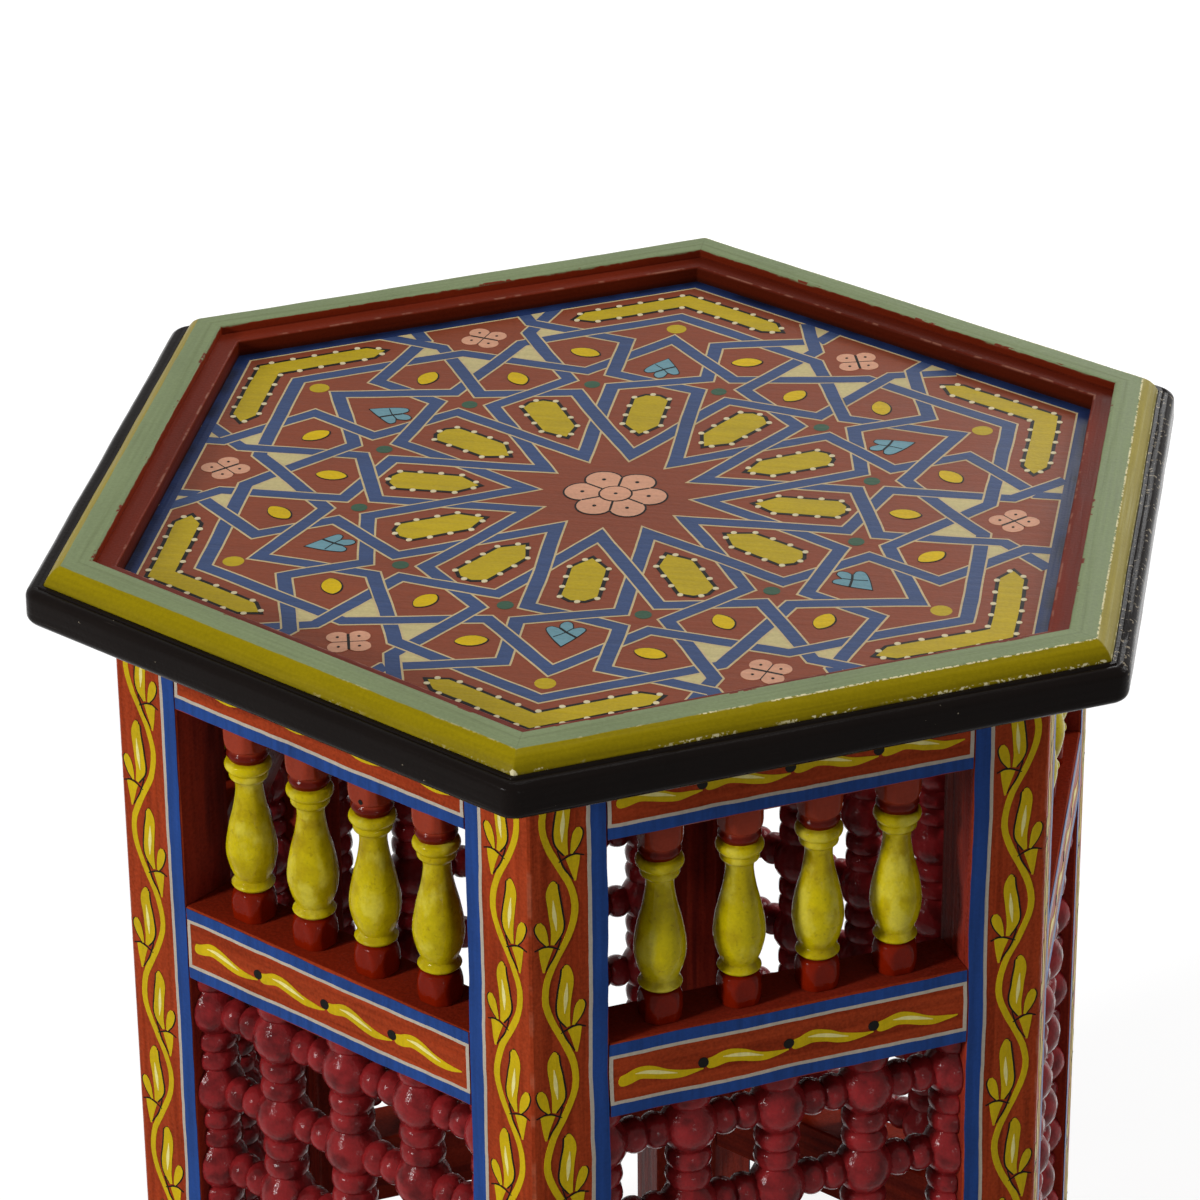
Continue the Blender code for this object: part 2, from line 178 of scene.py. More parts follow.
class Nodes:
    """Adds nodes by kind to a node tree."""

    def __init__(self, tree):
        self.tree = tree

    def node(self, kind, settings, sockets, out=0):
        made = self.tree.nodes.new(kind)
        for name, value in settings.items():
            setattr(made, name, value)
        for name, value in sockets.items():
            self.feed(made.inputs[name], value)
        return Flow(self, made.outputs[out])

    def feed(self, socket, value):
        if isinstance(value, Flow):
            self.tree.links.new(value.socket, socket)
        else:
            socket.default_value = value

    def maths(self, operation, *values):
        return self.node("ShaderNodeMath", {"operation": operation}, dict(enumerate(values)))

    def straight(self):
        """1 for rays that show the background: seen, mirrored or let through."""
        kinds = ("Is Camera Ray", "Is Glossy Ray", "Is Transmission Ray")
        camera, glossy, through = [self.node("ShaderNodeLightPath", {}, {}, kind) for kind in kinds]
        return self.maths("MAXIMUM", self.maths("MAXIMUM", camera, glossy), through)

    def show(self, output, shader):
        self.feed(self.tree.nodes[output].inputs["Surface"], shader)


class Finish(Nodes):
    """A paint finish."""

    def __init__(self, name):
        self.material = bpy.data.materials.new(name)
        self.material.use_nodes = True
        super().__init__(self.material.node_tree)
        self.shader = self.tree.nodes["Principled BSDF"]

    def place(self):
        return self.node("ShaderNodeNewGeometry", {}, {}, "Position")

    def axis(self, vector, name):
        return self.node("ShaderNodeSeparateXYZ", {}, {"Vector": vector}, name)

    def stretched(self, vector, scale):
        return self.node("ShaderNodeVectorMath", {"operation": "MULTIPLY"}, {0: vector, 1: scale})

    def noise(self, vector, scale, detail=3.0):
        sockets = {"Vector": vector, "Scale": scale, "Detail": detail}
        return self.node("ShaderNodeTexNoise", {}, sockets)

    def drift(self, vector, scale, detail=3.0):
        """Noise that goes either side of zero."""
        return self.noise(vector, scale, detail) - 0.5

    def blotch(self, vector, scale, low, high, detail=3.0):
        """Patches: 0 where the noise is under low, 1 where it is over high."""
        return self.step(self.noise(vector, scale, detail), low, high)

    def distance(self, vector, point):
        return self.node("ShaderNodeVectorMath", {"operation": "DISTANCE"}, {0: vector, 1: point}, "Value")

    def step(self, value, low, high):
        """0 below low, 1 above high, smooth between."""
        sockets = {"Value": value, "From Min": low, "From Max": high}
        return self.node("ShaderNodeMapRange", {"interpolation_type": "SMOOTHSTEP"}, sockets)

    def mix(self, factor, first, second):
        colours = [(*c, 1.0) if isinstance(c, tuple) else c for c in (first, second)]
        settings = {"data_type": "RGBA", "clamp_factor": True}
        return self.node("ShaderNodeMix", settings, {0: factor, 6: colours[0], 7: colours[1]}, 2)

    def scaled(self, colour, value):
        return self.node("ShaderNodeVectorMath", {"operation": "SCALE"}, {0: colour, "Scale": value})

    def set(self, name, value):
        self.feed(self.shader.inputs[name], value)

    def bump(self, height, strength, distance):
        sockets = {"Height": height, "Strength": strength, "Distance": distance}
        self.set("Normal", self.node("ShaderNodeBump", {}, sockets))


# Hand-laid paint: the scales of its patches and specks, and the height of its relief
PATCH_SCALE = 30.0
SPECK_SCALE = 900.0
RELIEF = 0.0004


def paint_coat(finish, colour, grain, roughness, mottle=0.14, streak=0.16, fleck=0.16, bump=0.35,
               shine=0.055):
    """A colour's hand-brushed surface: patches, brush strokes along the grain, specks and their relief."""
    where = finish.place()
    broad = finish.drift(where, PATCH_SCALE)
    lines = finish.drift(grain, 1.0, 4.0)
    specks = finish.drift(where, SPECK_SCALE, 2.0)
    shade = 1.0 + broad * (2 * mottle) + lines * (2 * streak) + specks * (2 * fleck)
    finish.set("Base Color", finish.scaled(colour, shade))
    finish.set("Roughness", roughness + broad * 0.16 + lines * 0.16 + specks * 0.06)
    finish.set("Specular IOR Level", shine)
    finish.bump(lines + specks * 0.5 + broad * 0.5, bump, RELIEF)
    return finish.material


# Scales of brush strokes by axis, smallest along the stroke
STROKES_ALONG_X = (22.0, 420.0, 420.0)
STROKES_UPRIGHT = (420.0, 420.0, 20.0)
STROKES_LEVEL = (20.0, 20.0, 420.0)
STROKES_TURNED = (140.0, 140.0, 50.0)
STROKES_SMEARED = (160.0, 160.0, 420.0)
STROKES_SHEEN = (130.0, 130.0, 75.0)
STROKES_DABBED = (120.0, 120.0, 120.0)
SIDE_ACROSS, SIDE_ALONG = 700.0, 22.0


def plain_paint(name, colour, strokes=STROKES_ALONG_X, roughness=0.38, **more):
    finish = Finish(name)
    return paint_coat(finish, colour, finish.stretched(finish.place(), strokes), roughness, **more)


def hexagon_places(finish):
    """Distance from the axis square to the nearest side, and distance from the nearest mitre line."""
    where = finish.place()
    x, y = finish.axis(where, "X"), finish.axis(where, "Y")
    angle = finish.maths("ARCTAN2", y, x) + TAU
    off_corner = finish.maths("ABSOLUTE", finish.maths("FLOORED_MODULO", angle, TURN) - HALF_TURN)
    reach = finish.maths("SQRT", x * x + y * y)
    apothem = reach * finish.maths("COSINE", HALF_TURN - off_corner)
    mitre = reach * finish.maths("SINE", off_corner)
    return where, apothem, mitre


def along_sides(finish):
    """Grain that runs round the table along each side."""
    where, apothem, mitre = hexagon_places(finish)
    up = finish.axis(where, "Z")
    sockets = {"X": apothem * SIDE_ACROSS, "Y": mitre * SIDE_ALONG, "Z": up * SIDE_ACROSS}
    return finish.node("ShaderNodeCombineXYZ", {}, sockets)


def right_side(finish):
    """1 on the side that faces +X, between its mitres."""
    where = finish.place()
    aside = finish.maths("ABSOLUTE", finish.axis(where, "Y"))
    return finish.step(finish.axis(where, "X") * math.tan(HALF_TURN) - aside, -0.0002, 0.0010)


CORNER_CHIP = (0.0, -(SLOPE_OUT - 0.0004) / math.cos(HALF_TURN), NOSE_TOP + 0.0005)


def rim_red(finish, where, apothem, streaks):
    """Dark red inside the rim: a painted shade at its foot, in the corner by the panel; worn at the ledge's
    edge and darker at the back right.
    """
    x, y, height = [finish.axis(where, name) for name in ("X", "Y", "Z")]
    ledge = finish.step(height, LEDGE_TOP - 0.0006, LEDGE_TOP - 0.0001)
    ledge = ledge * finish.step(height, LEDGE_TOP + 0.0010, LEDGE_TOP + 0.0006)
    walls = finish.mix(finish.step(height, LEDGE_TOP, LEDGE_TOP + 0.0006), RIM_LOW, RIM_HIGH)
    red = finish.mix(ledge, walls, finish.mix(streaks * 0.6, RIM_RED, RIM_LOW))
    # Painted shade: the foot of the wall darkened towards the corner by the panel.
    red = finish.mix(finish.step(height, PANEL_TOP + 0.0026, PANEL_TOP + 0.0004) * 0.7, red, RIM_FOOT_SHADE)
    back_right = x * math.cos(TURN) + y * math.sin(TURN)
    red = finish.scaled(red, 1.0 - finish.step(back_right, 0.125, 0.155) * 0.35)
    off_edge = finish.maths("ABSOLUTE", apothem - (RECESS + 0.0006))
    worn = finish.step(off_edge, 0.0006, 0.0001) * ledge
    return finish.mix(worn * finish.blotch(where, 160.0, 0.50, 0.60) * 0.6, red, WORN_RED)


def rim_yellow(finish, apothem, streaks):
    """Yellow of the slope, shaded towards its foot and painted paler on the right-hand side as a painted
    reflection.
    """
    lower = finish.step(apothem, FLAT_OUT + 0.0012, SLOPE_OUT)
    yellow = finish.mix(lower * (0.40 + streaks * 0.6), OLIVE_YELLOW, SLOPE_SHADE)
    # Painted reflection: the slope on the right-hand side is paler, as if mirroring the bright surroundings.
    return finish.mix(right_side(finish) * (0.35 + streaks * 0.55), yellow, REFLECTED_YELLOW)


def rim_chips(finish, where, apothem):
    """Chips along the upper and lower edge of the slope, most of them on the right."""
    x, height = finish.axis(where, "X"), finish.axis(where, "Z")
    arris = finish.step(finish.maths("ABSOLUTE", apothem - FLAT_OUT), 0.00045, 0.00015)
    foot = finish.step(height, NOSE_TOP + 0.0009, NOSE_TOP + 0.0005)
    foot = foot * finish.step(apothem, FLAT_OUT, SLOPE_OUT)
    crumbs = finish.noise(where, 800.0, 4.0)
    arris_chips = arris * finish.step(crumbs, 0.46, 0.52)
    foot_chips = foot * finish.step(crumbs, 0.53, 0.57)
    worn_place = finish.noise(where, 40.0) + x * 1.6
    chips = finish.maths("MAXIMUM", foot_chips, arris_chips) * finish.step(worn_place, 0.48, 0.58)
    return chips * (0.2 + 0.8 * finish.step(x, -0.012, 0.004))


def rim_paint():
    """Sage flat, yellow slope and dark red inside, with hand-painted edges, chips and mitre lines."""
    finish = Finish("rim_paint_sage_yellow_red")
    where, apothem, mitre = hexagon_places(finish)
    grain = along_sides(finish)
    height = finish.axis(where, "Z")
    line = apothem + finish.drift(where, 60.0) * 0.0008 + finish.drift(where, 300.0) * 0.0003
    streaks = finish.blotch(grain, 0.6, 0.45, 0.70, 4.0)
    red = rim_red(finish, where, apothem, streaks)
    yellow = rim_yellow(finish, apothem, streaks)
    sage = finish.mix(streaks * 0.6, SAGE, SAGE_DARK)
    ragged = height + finish.drift(where, 200.0) * 0.0006
    top = finish.step(ragged, TABLE_TOP - 0.0009, TABLE_TOP - 0.0006)
    colour = finish.mix(finish.step(line, FLAT_IN, FLAT_IN + 0.0002) * top, red, sage)
    slips = finish.step(line, FLAT_IN + 0.0012, FLAT_IN + 0.0007)
    slips = slips * finish.step(height, LEDGE_TOP + 0.002, TABLE_TOP)
    colour = finish.mix(slips * finish.blotch(where, 110.0, 0.60, 0.63, 4.0), colour, RIM_RED)
    colour = finish.mix(finish.step(line, FLAT_OUT - 0.0001, FLAT_OUT + 0.0002), colour, yellow)
    colour = finish.mix(rim_chips(finish, where, apothem), colour, CHIP)
    reach = finish.distance(where, CORNER_CHIP) + finish.drift(where, 900.0) * 0.0022
    colour = finish.mix(finish.step(reach, 0.0013, 0.0010), colour, CHIP)
    joint = finish.step(mitre, 0.00030, 0.0001) * finish.step(height, TABLE_TOP - 0.0012, TABLE_TOP - 0.0008)
    colour = finish.mix(joint * finish.blotch(where, 90.0, 0.40, 0.55) * 0.2, colour, JOINT_DARK)
    return paint_coat(finish, colour, grain, 0.34, mottle=0.12, streak=0.14, shine=0.03)


def body_paint(name, strokes):
    """Red outer faces of posts and rails, maroon wherever a piece turns inwards, and redder and lighter where
    an inner face looks up: the rail tops' red with a painted light on it.
    """
    finish = Finish(name)
    where, apothem, mitre = hexagon_places(finish)
    grain = finish.stretched(where, strokes)
    outside = finish.step(apothem, BODY_APOTHEM - 0.0008, BODY_APOTHEM - 0.0002)
    dark = finish.blotch(grain, 0.6, 0.46, 0.66, 5.0)
    red = finish.mix(dark * 0.6, BODY_RED, BODY_DARK)
    worn = finish.step(mitre, 0.0011, 0.0004) * outside
    red = finish.mix(worn * finish.blotch(where, 120.0, 0.48, 0.66) * 0.4, red, WORN_BODY)
    inside = finish.mix(dark * 0.6, MAROON, MAROON_DARK)
    # Painted light: inner faces that look up are given a lighter red than the maroon.
    upward = finish.axis(finish.node("ShaderNodeNewGeometry", {}, {}, "Normal"), "Z")
    inside = finish.mix(finish.step(upward, 0.4, 0.8), inside, finish.mix(dark * 0.6, UPWARD_LIT_RED, MAROON))
    colour = finish.mix(outside, inside, red)
    return paint_coat(finish, colour, grain, 0.30, streak=0.46, fleck=0.42, bump=0.6, shine=0.015)


def edge_paint():
    """Gloss black of the moulding, with grey scratches and pale specks of wear; more specks on the right,
    where they also stand for a painted reflection.
    """
    finish = Finish("edge_paint_black")
    where, grain = finish.place(), along_sides(finish)
    colour = finish.mix(finish.blotch(grain, 1.3, 0.68, 0.76, 5.0), EDGE_BLACK, SCRATCH_GREY)
    # Pale specks of wear, with more of them on the right side as a painted reflection.
    specks = finish.step(finish.noise(where, 480.0, 4.0) + right_side(finish) * 0.14, 0.75, 0.78)
    colour = finish.mix(specks, colour, SPECK_AND_GLINT_GREY)
    return paint_coat(finish, colour, grain, 0.18, bump=0.4, shine=0.035)


def spindle_paint():
    """Glossy yellow turning between red square ends, its edges cut in by hand."""
    finish = Finish("spindle_paint_yellow_red")
    where = finish.place()
    own = finish.node("ShaderNodeTexCoord", {}, {}, "Object")
    x, y = finish.axis(own, "X"), finish.axis(own, "Y")
    # Painted shade: olive darkening where the turning is thinnest, in its creases; the same olive also makes
    # random patches.
    crease_shade = finish.step(finish.maths("SQRT", x * x + y * y), 0.0077, 0.0057)
    up = finish.axis(own, "Z") + finish.drift(where, 90.0) * 0.0016
    low, high = SPINDLE_YELLOW_LOW, SPINDLE_YELLOW_HIGH
    turned_part = finish.step(up, low - 0.0002, low + 0.0002) * finish.step(up, high + 0.0002, high - 0.0002)
    patches = finish.blotch(where, 120.0, 0.42, 0.70, 4.0)
    yellow = finish.mix(patches * 0.6 + crease_shade * 0.35, SPINDLE_YELLOW, SPINDLE_OLIVE_AND_SHADE)
    smears = finish.blotch(finish.stretched(where, STROKES_SMEARED), 1.0, 0.68, 0.76, 5.0)
    yellow = finish.mix(smears * 0.5, yellow, SPINDLE_SMEAR)
    yellow = finish.mix(finish.blotch(where, 620.0, 0.58, 0.70, 4.0) * 0.30, yellow, SPINDLE_DIRT)
    # Painted sheen: paler patches along the turning that stand for the varnish's gloss.
    pale = finish.blotch(finish.stretched(where, STROKES_SHEEN), 1.0, 0.50, 0.66, 4.0)
    yellow = finish.mix(pale * 0.5, yellow, SPINDLE_SHEEN)
    bead = finish.step(up, low - 0.0010, low) * finish.step(up, high + 0.0042, high + 0.0030)
    # The heads' red is painted lighter than the feet's: a painted light and sheen on the same red paint.
    red = finish.mix(bead, finish.mix(finish.step(up, low, high), FOOT_RED, HEAD_RED_LIT), BEAD_RED)
    colour = finish.mix(turned_part, red, yellow)
    grain = finish.stretched(where, STROKES_TURNED)
    return paint_coat(finish, colour, grain, 0.09, mottle=0.22, bump=0.45, shine=0.05)


def lattice_paint():
    """Thick gloss maroon that has pooled between the beads."""
    finish = Finish("lattice_paint_maroon")
    where = finish.place()
    pooled = finish.blotch(where, 140.0, 0.40, 0.70, 4.0)
    colour = finish.mix(pooled, LATTICE_MAROON, LATTICE_POOLED)
    return paint_coat(finish, colour, finish.stretched(where, STROKES_DABBED), 0.16, bump=0.8, shine=0.09)


def panel_paint():
    """Brick-red field of the top, brushed and a little crazed."""
    finish = Finish("panel_paint_brick")
    where = finish.place()
    sockets = {"Vector": where, "Scale": 16.0}
    cells = finish.node("ShaderNodeTexVoronoi", {"feature": "DISTANCE_TO_EDGE"}, sockets)
    craze = finish.step(cells, 0.012, 0.002) * finish.blotch(where, 9.0, 0.60, 0.70)
    colour = finish.mix(craze * 0.8, BRICK, CRAZE_BROWN)
    grain = finish.stretched(where, STROKES_ALONG_X)
    return paint_coat(finish, colour, grain, 0.38, mottle=0.12, streak=0.12)


def border_paint():
    """Blue of the border, darkened where it meets the rim: a blotchy painted shade in the corner."""
    finish = Finish("panel_border_blue")
    where, apothem, mitre = hexagon_places(finish)
    corner = finish.step(apothem, RECESS - 0.0060, RECESS - 0.0008)
    shade_patches = finish.blotch(where, 70.0, 0.35, 0.65, 4.0)
    # Painted shade: the blue darkened in blotches towards the corner by the rim.
    colour = finish.mix(corner * (0.45 + shade_patches * 0.5), BORDER_BLUE, BORDER_CORNER_SHADE)
    return paint_coat(finish, colour, along_sides(finish), 0.34, mottle=0.25, streak=0.25)


def add_loops(bm, loops, joined):
    """Skin a row of point loops of equal length; a joined row closes on itself, another is capped."""
    rows = [[bm.verts.new(point) for point in loop] for loop in loops]
    count = len(rows[0])
    pairs = list(zip(rows, rows[1:]))
    if joined:
        pairs.append((rows[-1], rows[0]))
    else:
        bm.faces.new(list(reversed(rows[0])))
        bm.faces.new(rows[-1])
    for lower, upper in pairs:
        for i in range(count):
            j = (i + 1) % count
            bm.faces.new((lower[i], lower[j], upper[j], upper[i]))


def new_mesh(name, build, smooth=None):
    bm = bmesh.new()
    build(bm)
    bmesh.ops.recalc_face_normals(bm, faces=bm.faces)
    mesh = bpy.data.meshes.new(name)
    bm.to_mesh(mesh)
    bm.free()
    if smooth is not None:
        mesh.shade_smooth()
        mesh.set_sharp_from_angle(angle=math.radians(smooth))
    return mesh


def new_piece(name, mesh, finish, turn=0.0, location=(0.0, 0.0, 0.0)):
    """A piece of the table that rides on its one body."""
    if not mesh.materials:
        mesh.materials.append(finish)
    piece = bpy.data.objects.new(name, mesh)
    bpy.context.scene.collection.objects.link(piece)
    piece.rotation_euler = (0.0, 0.0, turn)
    piece.location = location
    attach(piece, "root")
    return piece


def side_turn(side):
    """Turn of a side made facing -Y; side 0 is next to the front corner, to its right."""
    return HALF_TURN + side * TURN


def polar(reach, angle):
    return Vector((reach * math.cos(angle), reach * math.sin(angle)))


# Coats of paint: how far each stands off what is under it
SUNK = 0.00005
FILL_COAT = 0.00003
FIRST_COAT = 0.00007
SECOND_COAT = 0.00011
THIRD_COAT = 0.00015
FOURTH_COAT = 0.00019
TOP_COAT = 0.00023
HAIR = 0.0000015
HAIRS = 23
MITRE_LIMIT = 2.4
coats_laid = itertools.count()


def fresh(lift):
    """A coat's height; each is laid a hair off the one before, so that no two share a plane."""
    return lift + HAIR * (next(coats_laid) % HAIRS)


def patch(bm, outline, lift, place):
    """A flat patch of paint with the given outline."""
    loops = [[place(point[0], point[1], height) for point in outline] for height in (-SUNK, fresh(lift))]
    add_loops(bm, loops, joined=False)


def edge_normals(points, closed):
    """For each point of a line, the sideways direction that mitres its neighbours."""
    normals = []
    last = len(points) - 1
    for i, point in enumerate(points):
        before = points[i - 1] if closed or i > 0 else None
        after = points[(i + 1) % len(points)] if closed or i < last else None
        runs = [point - before] if before is not None else []
        runs += [after - point] if after is not None else []
        sides = [Vector((-run.y, run.x)).normalized() for run in runs if run.length > 0]
        mean = sum(sides, Vector((0.0, 0.0)))
        mean = mean.normalized() if mean.length > 1e-6 else sides[0]
        normals.append(mean * min(MITRE_LIMIT, 1.0 / max(0.2, mean.dot(sides[0]))))
    return normals


def strip(bm, rungs, lift, place, closed=False):
    """A thin strip of paint, given as the pairs of points on its two edges."""
    lift = fresh(lift)
    loops = []
    for left, right in rungs:
        loops.append([place(*left, -SUNK), place(*right, -SUNK), place(*right, lift), place(*left, lift)])
    add_loops(bm, loops, joined=closed)


def stroke(bm, spine, half_widths, lift, place, closed=False):
    """A brush stroke: a thin strip along a line, as wide as its half widths say."""
    spine = [Vector(point[:2]) for point in spine]
    if not hasattr(half_widths, "__len__"):
        half_widths = [half_widths] * len(spine)
    sides = zip(spine, edge_normals(spine, closed), half_widths)
    rungs = [(point + normal * half, point - normal * half) for point, normal, half in sides]
    strip(bm, rungs, lift, place, closed)


def smooth_line(points, steps=8):
    """A smooth line through points."""
    points = [Vector(p) for p in points]
    ends = [points[0] * 2 - points[1]] + points + [points[-1] * 2 - points[-2]]
    line = []
    for a, b, c, d in zip(ends, ends[1:], ends[2:], ends[3:]):
        for i in range(steps):
            t = i / steps
            line.append(0.5 * (2 * b + (c - a) * t + (2 * a - 5 * b + 4 * c - d) * t * t
                               + (3 * b - a - 3 * c + d) * t * t * t))
    return line + [points[-1]]


def fine_line(points, longest, closed=False):
    """The same line with points no further apart than longest."""
    line = []
    ends = points[1:] + points[:1] if closed else points[1:]
    for a, b in zip(points, ends):
        a, b = Vector(a), Vector(b)
        count = max(1, math.ceil((b - a).length / longest))
        line += [a.lerp(b, i / count) for i in range(count)]
    return line if closed else line + [Vector(points[-1])]


def disc(centre, radius, count):
    return [Vector(centre) + polar(radius, TAU * i / count) for i in range(count)]


def grown(outline, distance):
    """An outline, given counter-clockwise, moved outwards all round."""
    points = [Vector(p) for p in outline]
    return [point - normal * distance for point, normal in zip(points, edge_normals(points, True))]


# The star pattern of the top, in shares of the rim's corner reach
UNIT = 0.196975
PATTERN_OFF = Vector((-0.006, -0.005))
HAND_WAVER = 0.0042
FINE_WAVER = HAND_WAVER * 0.25
STAR_TIP = 0.1585
PETAL_WALL = STAR_TIP * math.sin(HALF_TURN)
STRAP_HALF = 0.0121
STRAP_EDGE = 0.0157
STRAP_LAP = 0.0010
FINE_STEP = 0.02
BORDER_IN = 0.7575
BORDER_LINE = 0.0036
STRAP_END = 0.766
CORNER_DIRECTIONS = [HALF_TURN + TURN * i for i in range(SIDES)]
EDGE_DIRECTIONS = [TURN * i for i in range(SIDES)]


# The hand strays the same way on every run
HAND_SEED = 1
noise.seed_set(HAND_SEED)


def waver(x, y, scale, seed):
    """How the hand strays, up to about 1 either way."""
    return noise.noise_vector(Vector((x * scale, y * scale, seed))).to_2d()


def on_panel(x, y, lift):
    """A point of the pattern on the panel, drawn by hand: a little off the ruled line."""
    drift = waver(x, y, 5.0, 3.0) * HAND_WAVER + waver(x, y, 22.0, 7.0) * FINE_WAVER
    spot = Vector((x, y)) + drift + PATTERN_OFF
    return Vector((spot.x * UNIT, spot.y * UNIT, PANEL_TOP + lift))


def turned(points, angle, mirror=1):
    """Points set out along an axis (distance out, distance aside), turned to a direction."""
    rotation = Matrix.Rotation(angle, 2)
    return [rotation @ Vector((p[0], p[1] * mirror)) for p in points]


def strap_arm(direction, mirror):
    """A strap from its star tip along a petal's wall, over the petal's end and out to the border."""
    is_edge = any(abs(direction - d) < 1e-6 for d in EDGE_DIRECTIONS)
    if is_edge:
        run = [(0.411, -PETAL_WALL), (0.4663, 0.0856), (0.6825, 0.0858), (STRAP_END, 0.1693)]
        return turned(run, direction, mirror)
    run = turned([(0.429, -PETAL_WALL), (0.4837, 0.0865), (0.628, 0.084)], direction, mirror)
    return run + turned([(0.7217, -0.1048), (STRAP_END, -0.1048)], direction + HALF_TURN * mirror, mirror)


def straps():
    """Centre lines of all straps: twelve from the star's tips and two closed ones round the outside."""
    lines = []
    for k in range(2 * SIDES):
        direction = HALF_TURN * k
        tip = [polar(STAR_TIP, direction)]
        ahead = strap_arm((direction + HALF_TURN) % TAU, 1)
        behind = strap_arm((direction - HALF_TURN) % TAU, -1)
        lines.append((behind[::-1] + tip + ahead, False))
    for first in range(2):
        loop = []
        for corner in range(first, SIDES, 2):
            chevron = CORNER_DIRECTIONS[corner]
            inner = chevron - TURN
            loop += turned([(0.7446, 0.0)], chevron)
            loop += turned([(0.6448, 0.0585)], chevron - HALF_TURN)
            loop += turned([(0.487, 0.1348), (0.6465, 0.0), (0.487, -0.1348)], inner)
            loop += turned([(0.6448, -0.0585)], inner - HALF_TURN)
        lines.append((ordered(loop), True))
    return lines


def ordered(loop):
    """A closed strap's points in the order it runs: each group of six follows on clockwise."""
    groups = [loop[i:i + SIDES] for i in range(0, len(loop), SIDES)]
    groups = [groups[0]] + groups[:0:-1]
    return [point for group in groups for point in group]


def crossings(lines):
    """Every place where two straps cross: the straps, how far along each, the point and both directions."""
    runs = []
    for index, (points, closed) in enumerate(lines):
        ends = points[1:] + points[:1] if closed else points[1:]
        runs += [(index, i, a, b) for i, (a, b) in enumerate(zip(points, ends))]
    found = []
    for n, (first, i, a, b) in enumerate(runs):
        for second, j, c, d in runs[n + 1:]:
            along, across = b - a, d - c
            turn = along.cross(across)
            if first == second or abs(turn) < 1e-9:
                continue
            s, t = (c - a).cross(across) / turn, (c - a).cross(along) / turn
            if 0 < s < 1 and 0 < t < 1:
                found.append(({first: i + s, second: j + t}, a + along * s, {first: along, second: across}))
    return found


def weave(lines):
    """Every crossing, and for each the strap that passes over: a strap goes over and under by turns."""
    found = crossings(lines)
    order = {}
    for index in range(len(lines)):
        on_strap = [c for c in range(len(found)) if index in found[c][0]]
        order[index] = sorted(on_strap, key=lambda c: found[c][0][index])
    over = {0: max(found[0][0])}
    waiting = [0]
    while waiting:
        crossing = waiting.pop()
        for strap in found[crossing][0]:
            row = order[strap]
            spot = row.index(crossing)
            beside = [row[spot - 1]] if spot > 0 else []
            beside += [row[spot + 1]] if spot + 1 < len(row) else []
            for other in beside:
                if other in over:
                    continue
                rival = next(s for s in found[other][0] if s != strap)
                over[other] = rival if over[crossing] == strap else strap
                waiting.append(other)
    return found, over


def cut_straps(lines):
    """The straps cut where they pass under: each piece's points, and the way of the strap over each end."""
    found, over = weave(lines)
    pieces = []
    for index, (points, closed) in enumerate(lines):
        unders = sorted((found[c][0][index], c) for c in over if index in found[c][0] and over[c] != index)
        stops = [(along, found[c][1], found[c][2][over[c]].normalized()) for along, c in unders]
        if closed:
            along, point, way = stops[0]
            stops.append((along + len(points), point, way))
        else:
            stops = [(0, points[0], None)] + stops + [(len(points) - 1, points[-1], None)]
        for (low, start, start_way), (high, end, end_way) in zip(stops, stops[1:]):
            inner = [points[i % len(points)] for i in range(math.floor(low) + 1, math.ceil(high))]
            pieces.append(([start] + inner + [end], start_way, end_way))
    return pieces


def trimmed(edge, middle, way, reach):
    """A strap's edge with its first point moved on to the edge of the strap it passes under."""
    if way is None:
        return edge
    run = edge[1] - edge[0]
    ahead = run.normalized()
    across = Vector((-way.y, way.x))
    if ahead.dot(across) < 0:
        across = -across
    distance = (reach - (edge[0] - middle).dot(across)) / ahead.dot(across)
    return [edge[0] + ahead * min(distance, run.length * 0.98)] + edge[1:]


def strap_strip(bm, piece, half, lift, lap):
    """A piece of strap, its ends cut along the straps it passes under."""
    points, start_way, end_way = piece
    normals = edge_normals(points, False)
    edges = []
    for side in (half, -half):
        edge = [point + normal * side for point, normal in zip(points, normals)]
        edge = trimmed(edge, points[0], start_way, STRAP_EDGE - lap)
        edges.append(trimmed(edge[::-1], points[-1], end_way, STRAP_EDGE - lap)[::-1])
    left, right = edges
    rungs = []
    for i in range(len(points) - 1):
        count = max(1, math.ceil((left[i + 1] - left[i]).length / FINE_STEP))
        rungs += [(left[i].lerp(left[i + 1], n / count), right[i].lerp(right[i + 1], n / count))
                  for n in range(count)]
    strip(bm, rungs + [(left[-1], right[-1])], lift, on_panel)


def strap_coats():
    """The blue straps and their cream edges."""
    pieces = cut_straps(straps())

    def blue(bm):
        for piece in pieces:
            strap_strip(bm, piece, STRAP_HALF, SECOND_COAT, 0.0)

    def cream(bm):
        for piece in pieces:
            strap_strip(bm, piece, STRAP_EDGE, FIRST_COAT, STRAP_LAP)
        border(bm, BORDER_IN - BORDER_LINE, BORDER_IN, FILL_COAT)

    return blue, cream


def hexagon(apothem):
    return [polar(apothem / math.cos(HALF_TURN), direction) for direction in CORNER_DIRECTIONS]


def border(bm, inner, outer, lift):
    """A painted band that follows the rim."""
    middle = fine_line(hexagon((inner + outer) / 2), FINE_STEP, closed=True)

    def place(x, y, height):
        return Vector((x * UNIT, y * UNIT, PANEL_TOP + height))

    stroke(bm, middle, (outer - inner) / 2, lift, place, closed=True)


def blue_border(bm):
    border(bm, BORDER_IN, RECESS / UNIT - 0.001, TOP_COAT)


GAPS = (
    ((0.5236, 0.0858), (0.5957, 0.0), (0.6448, 0.0585), (0.6448, 0.0858)),
    ((0.6448, 0.1833), (0.6448, 0.0858), (0.6825, 0.0858), (0.7117, 0.1150)),
    ((0.7117, 0.1150), (0.7217, 0.1048), (0.7650, 0.1048), (0.7650, 0.1680)),
)


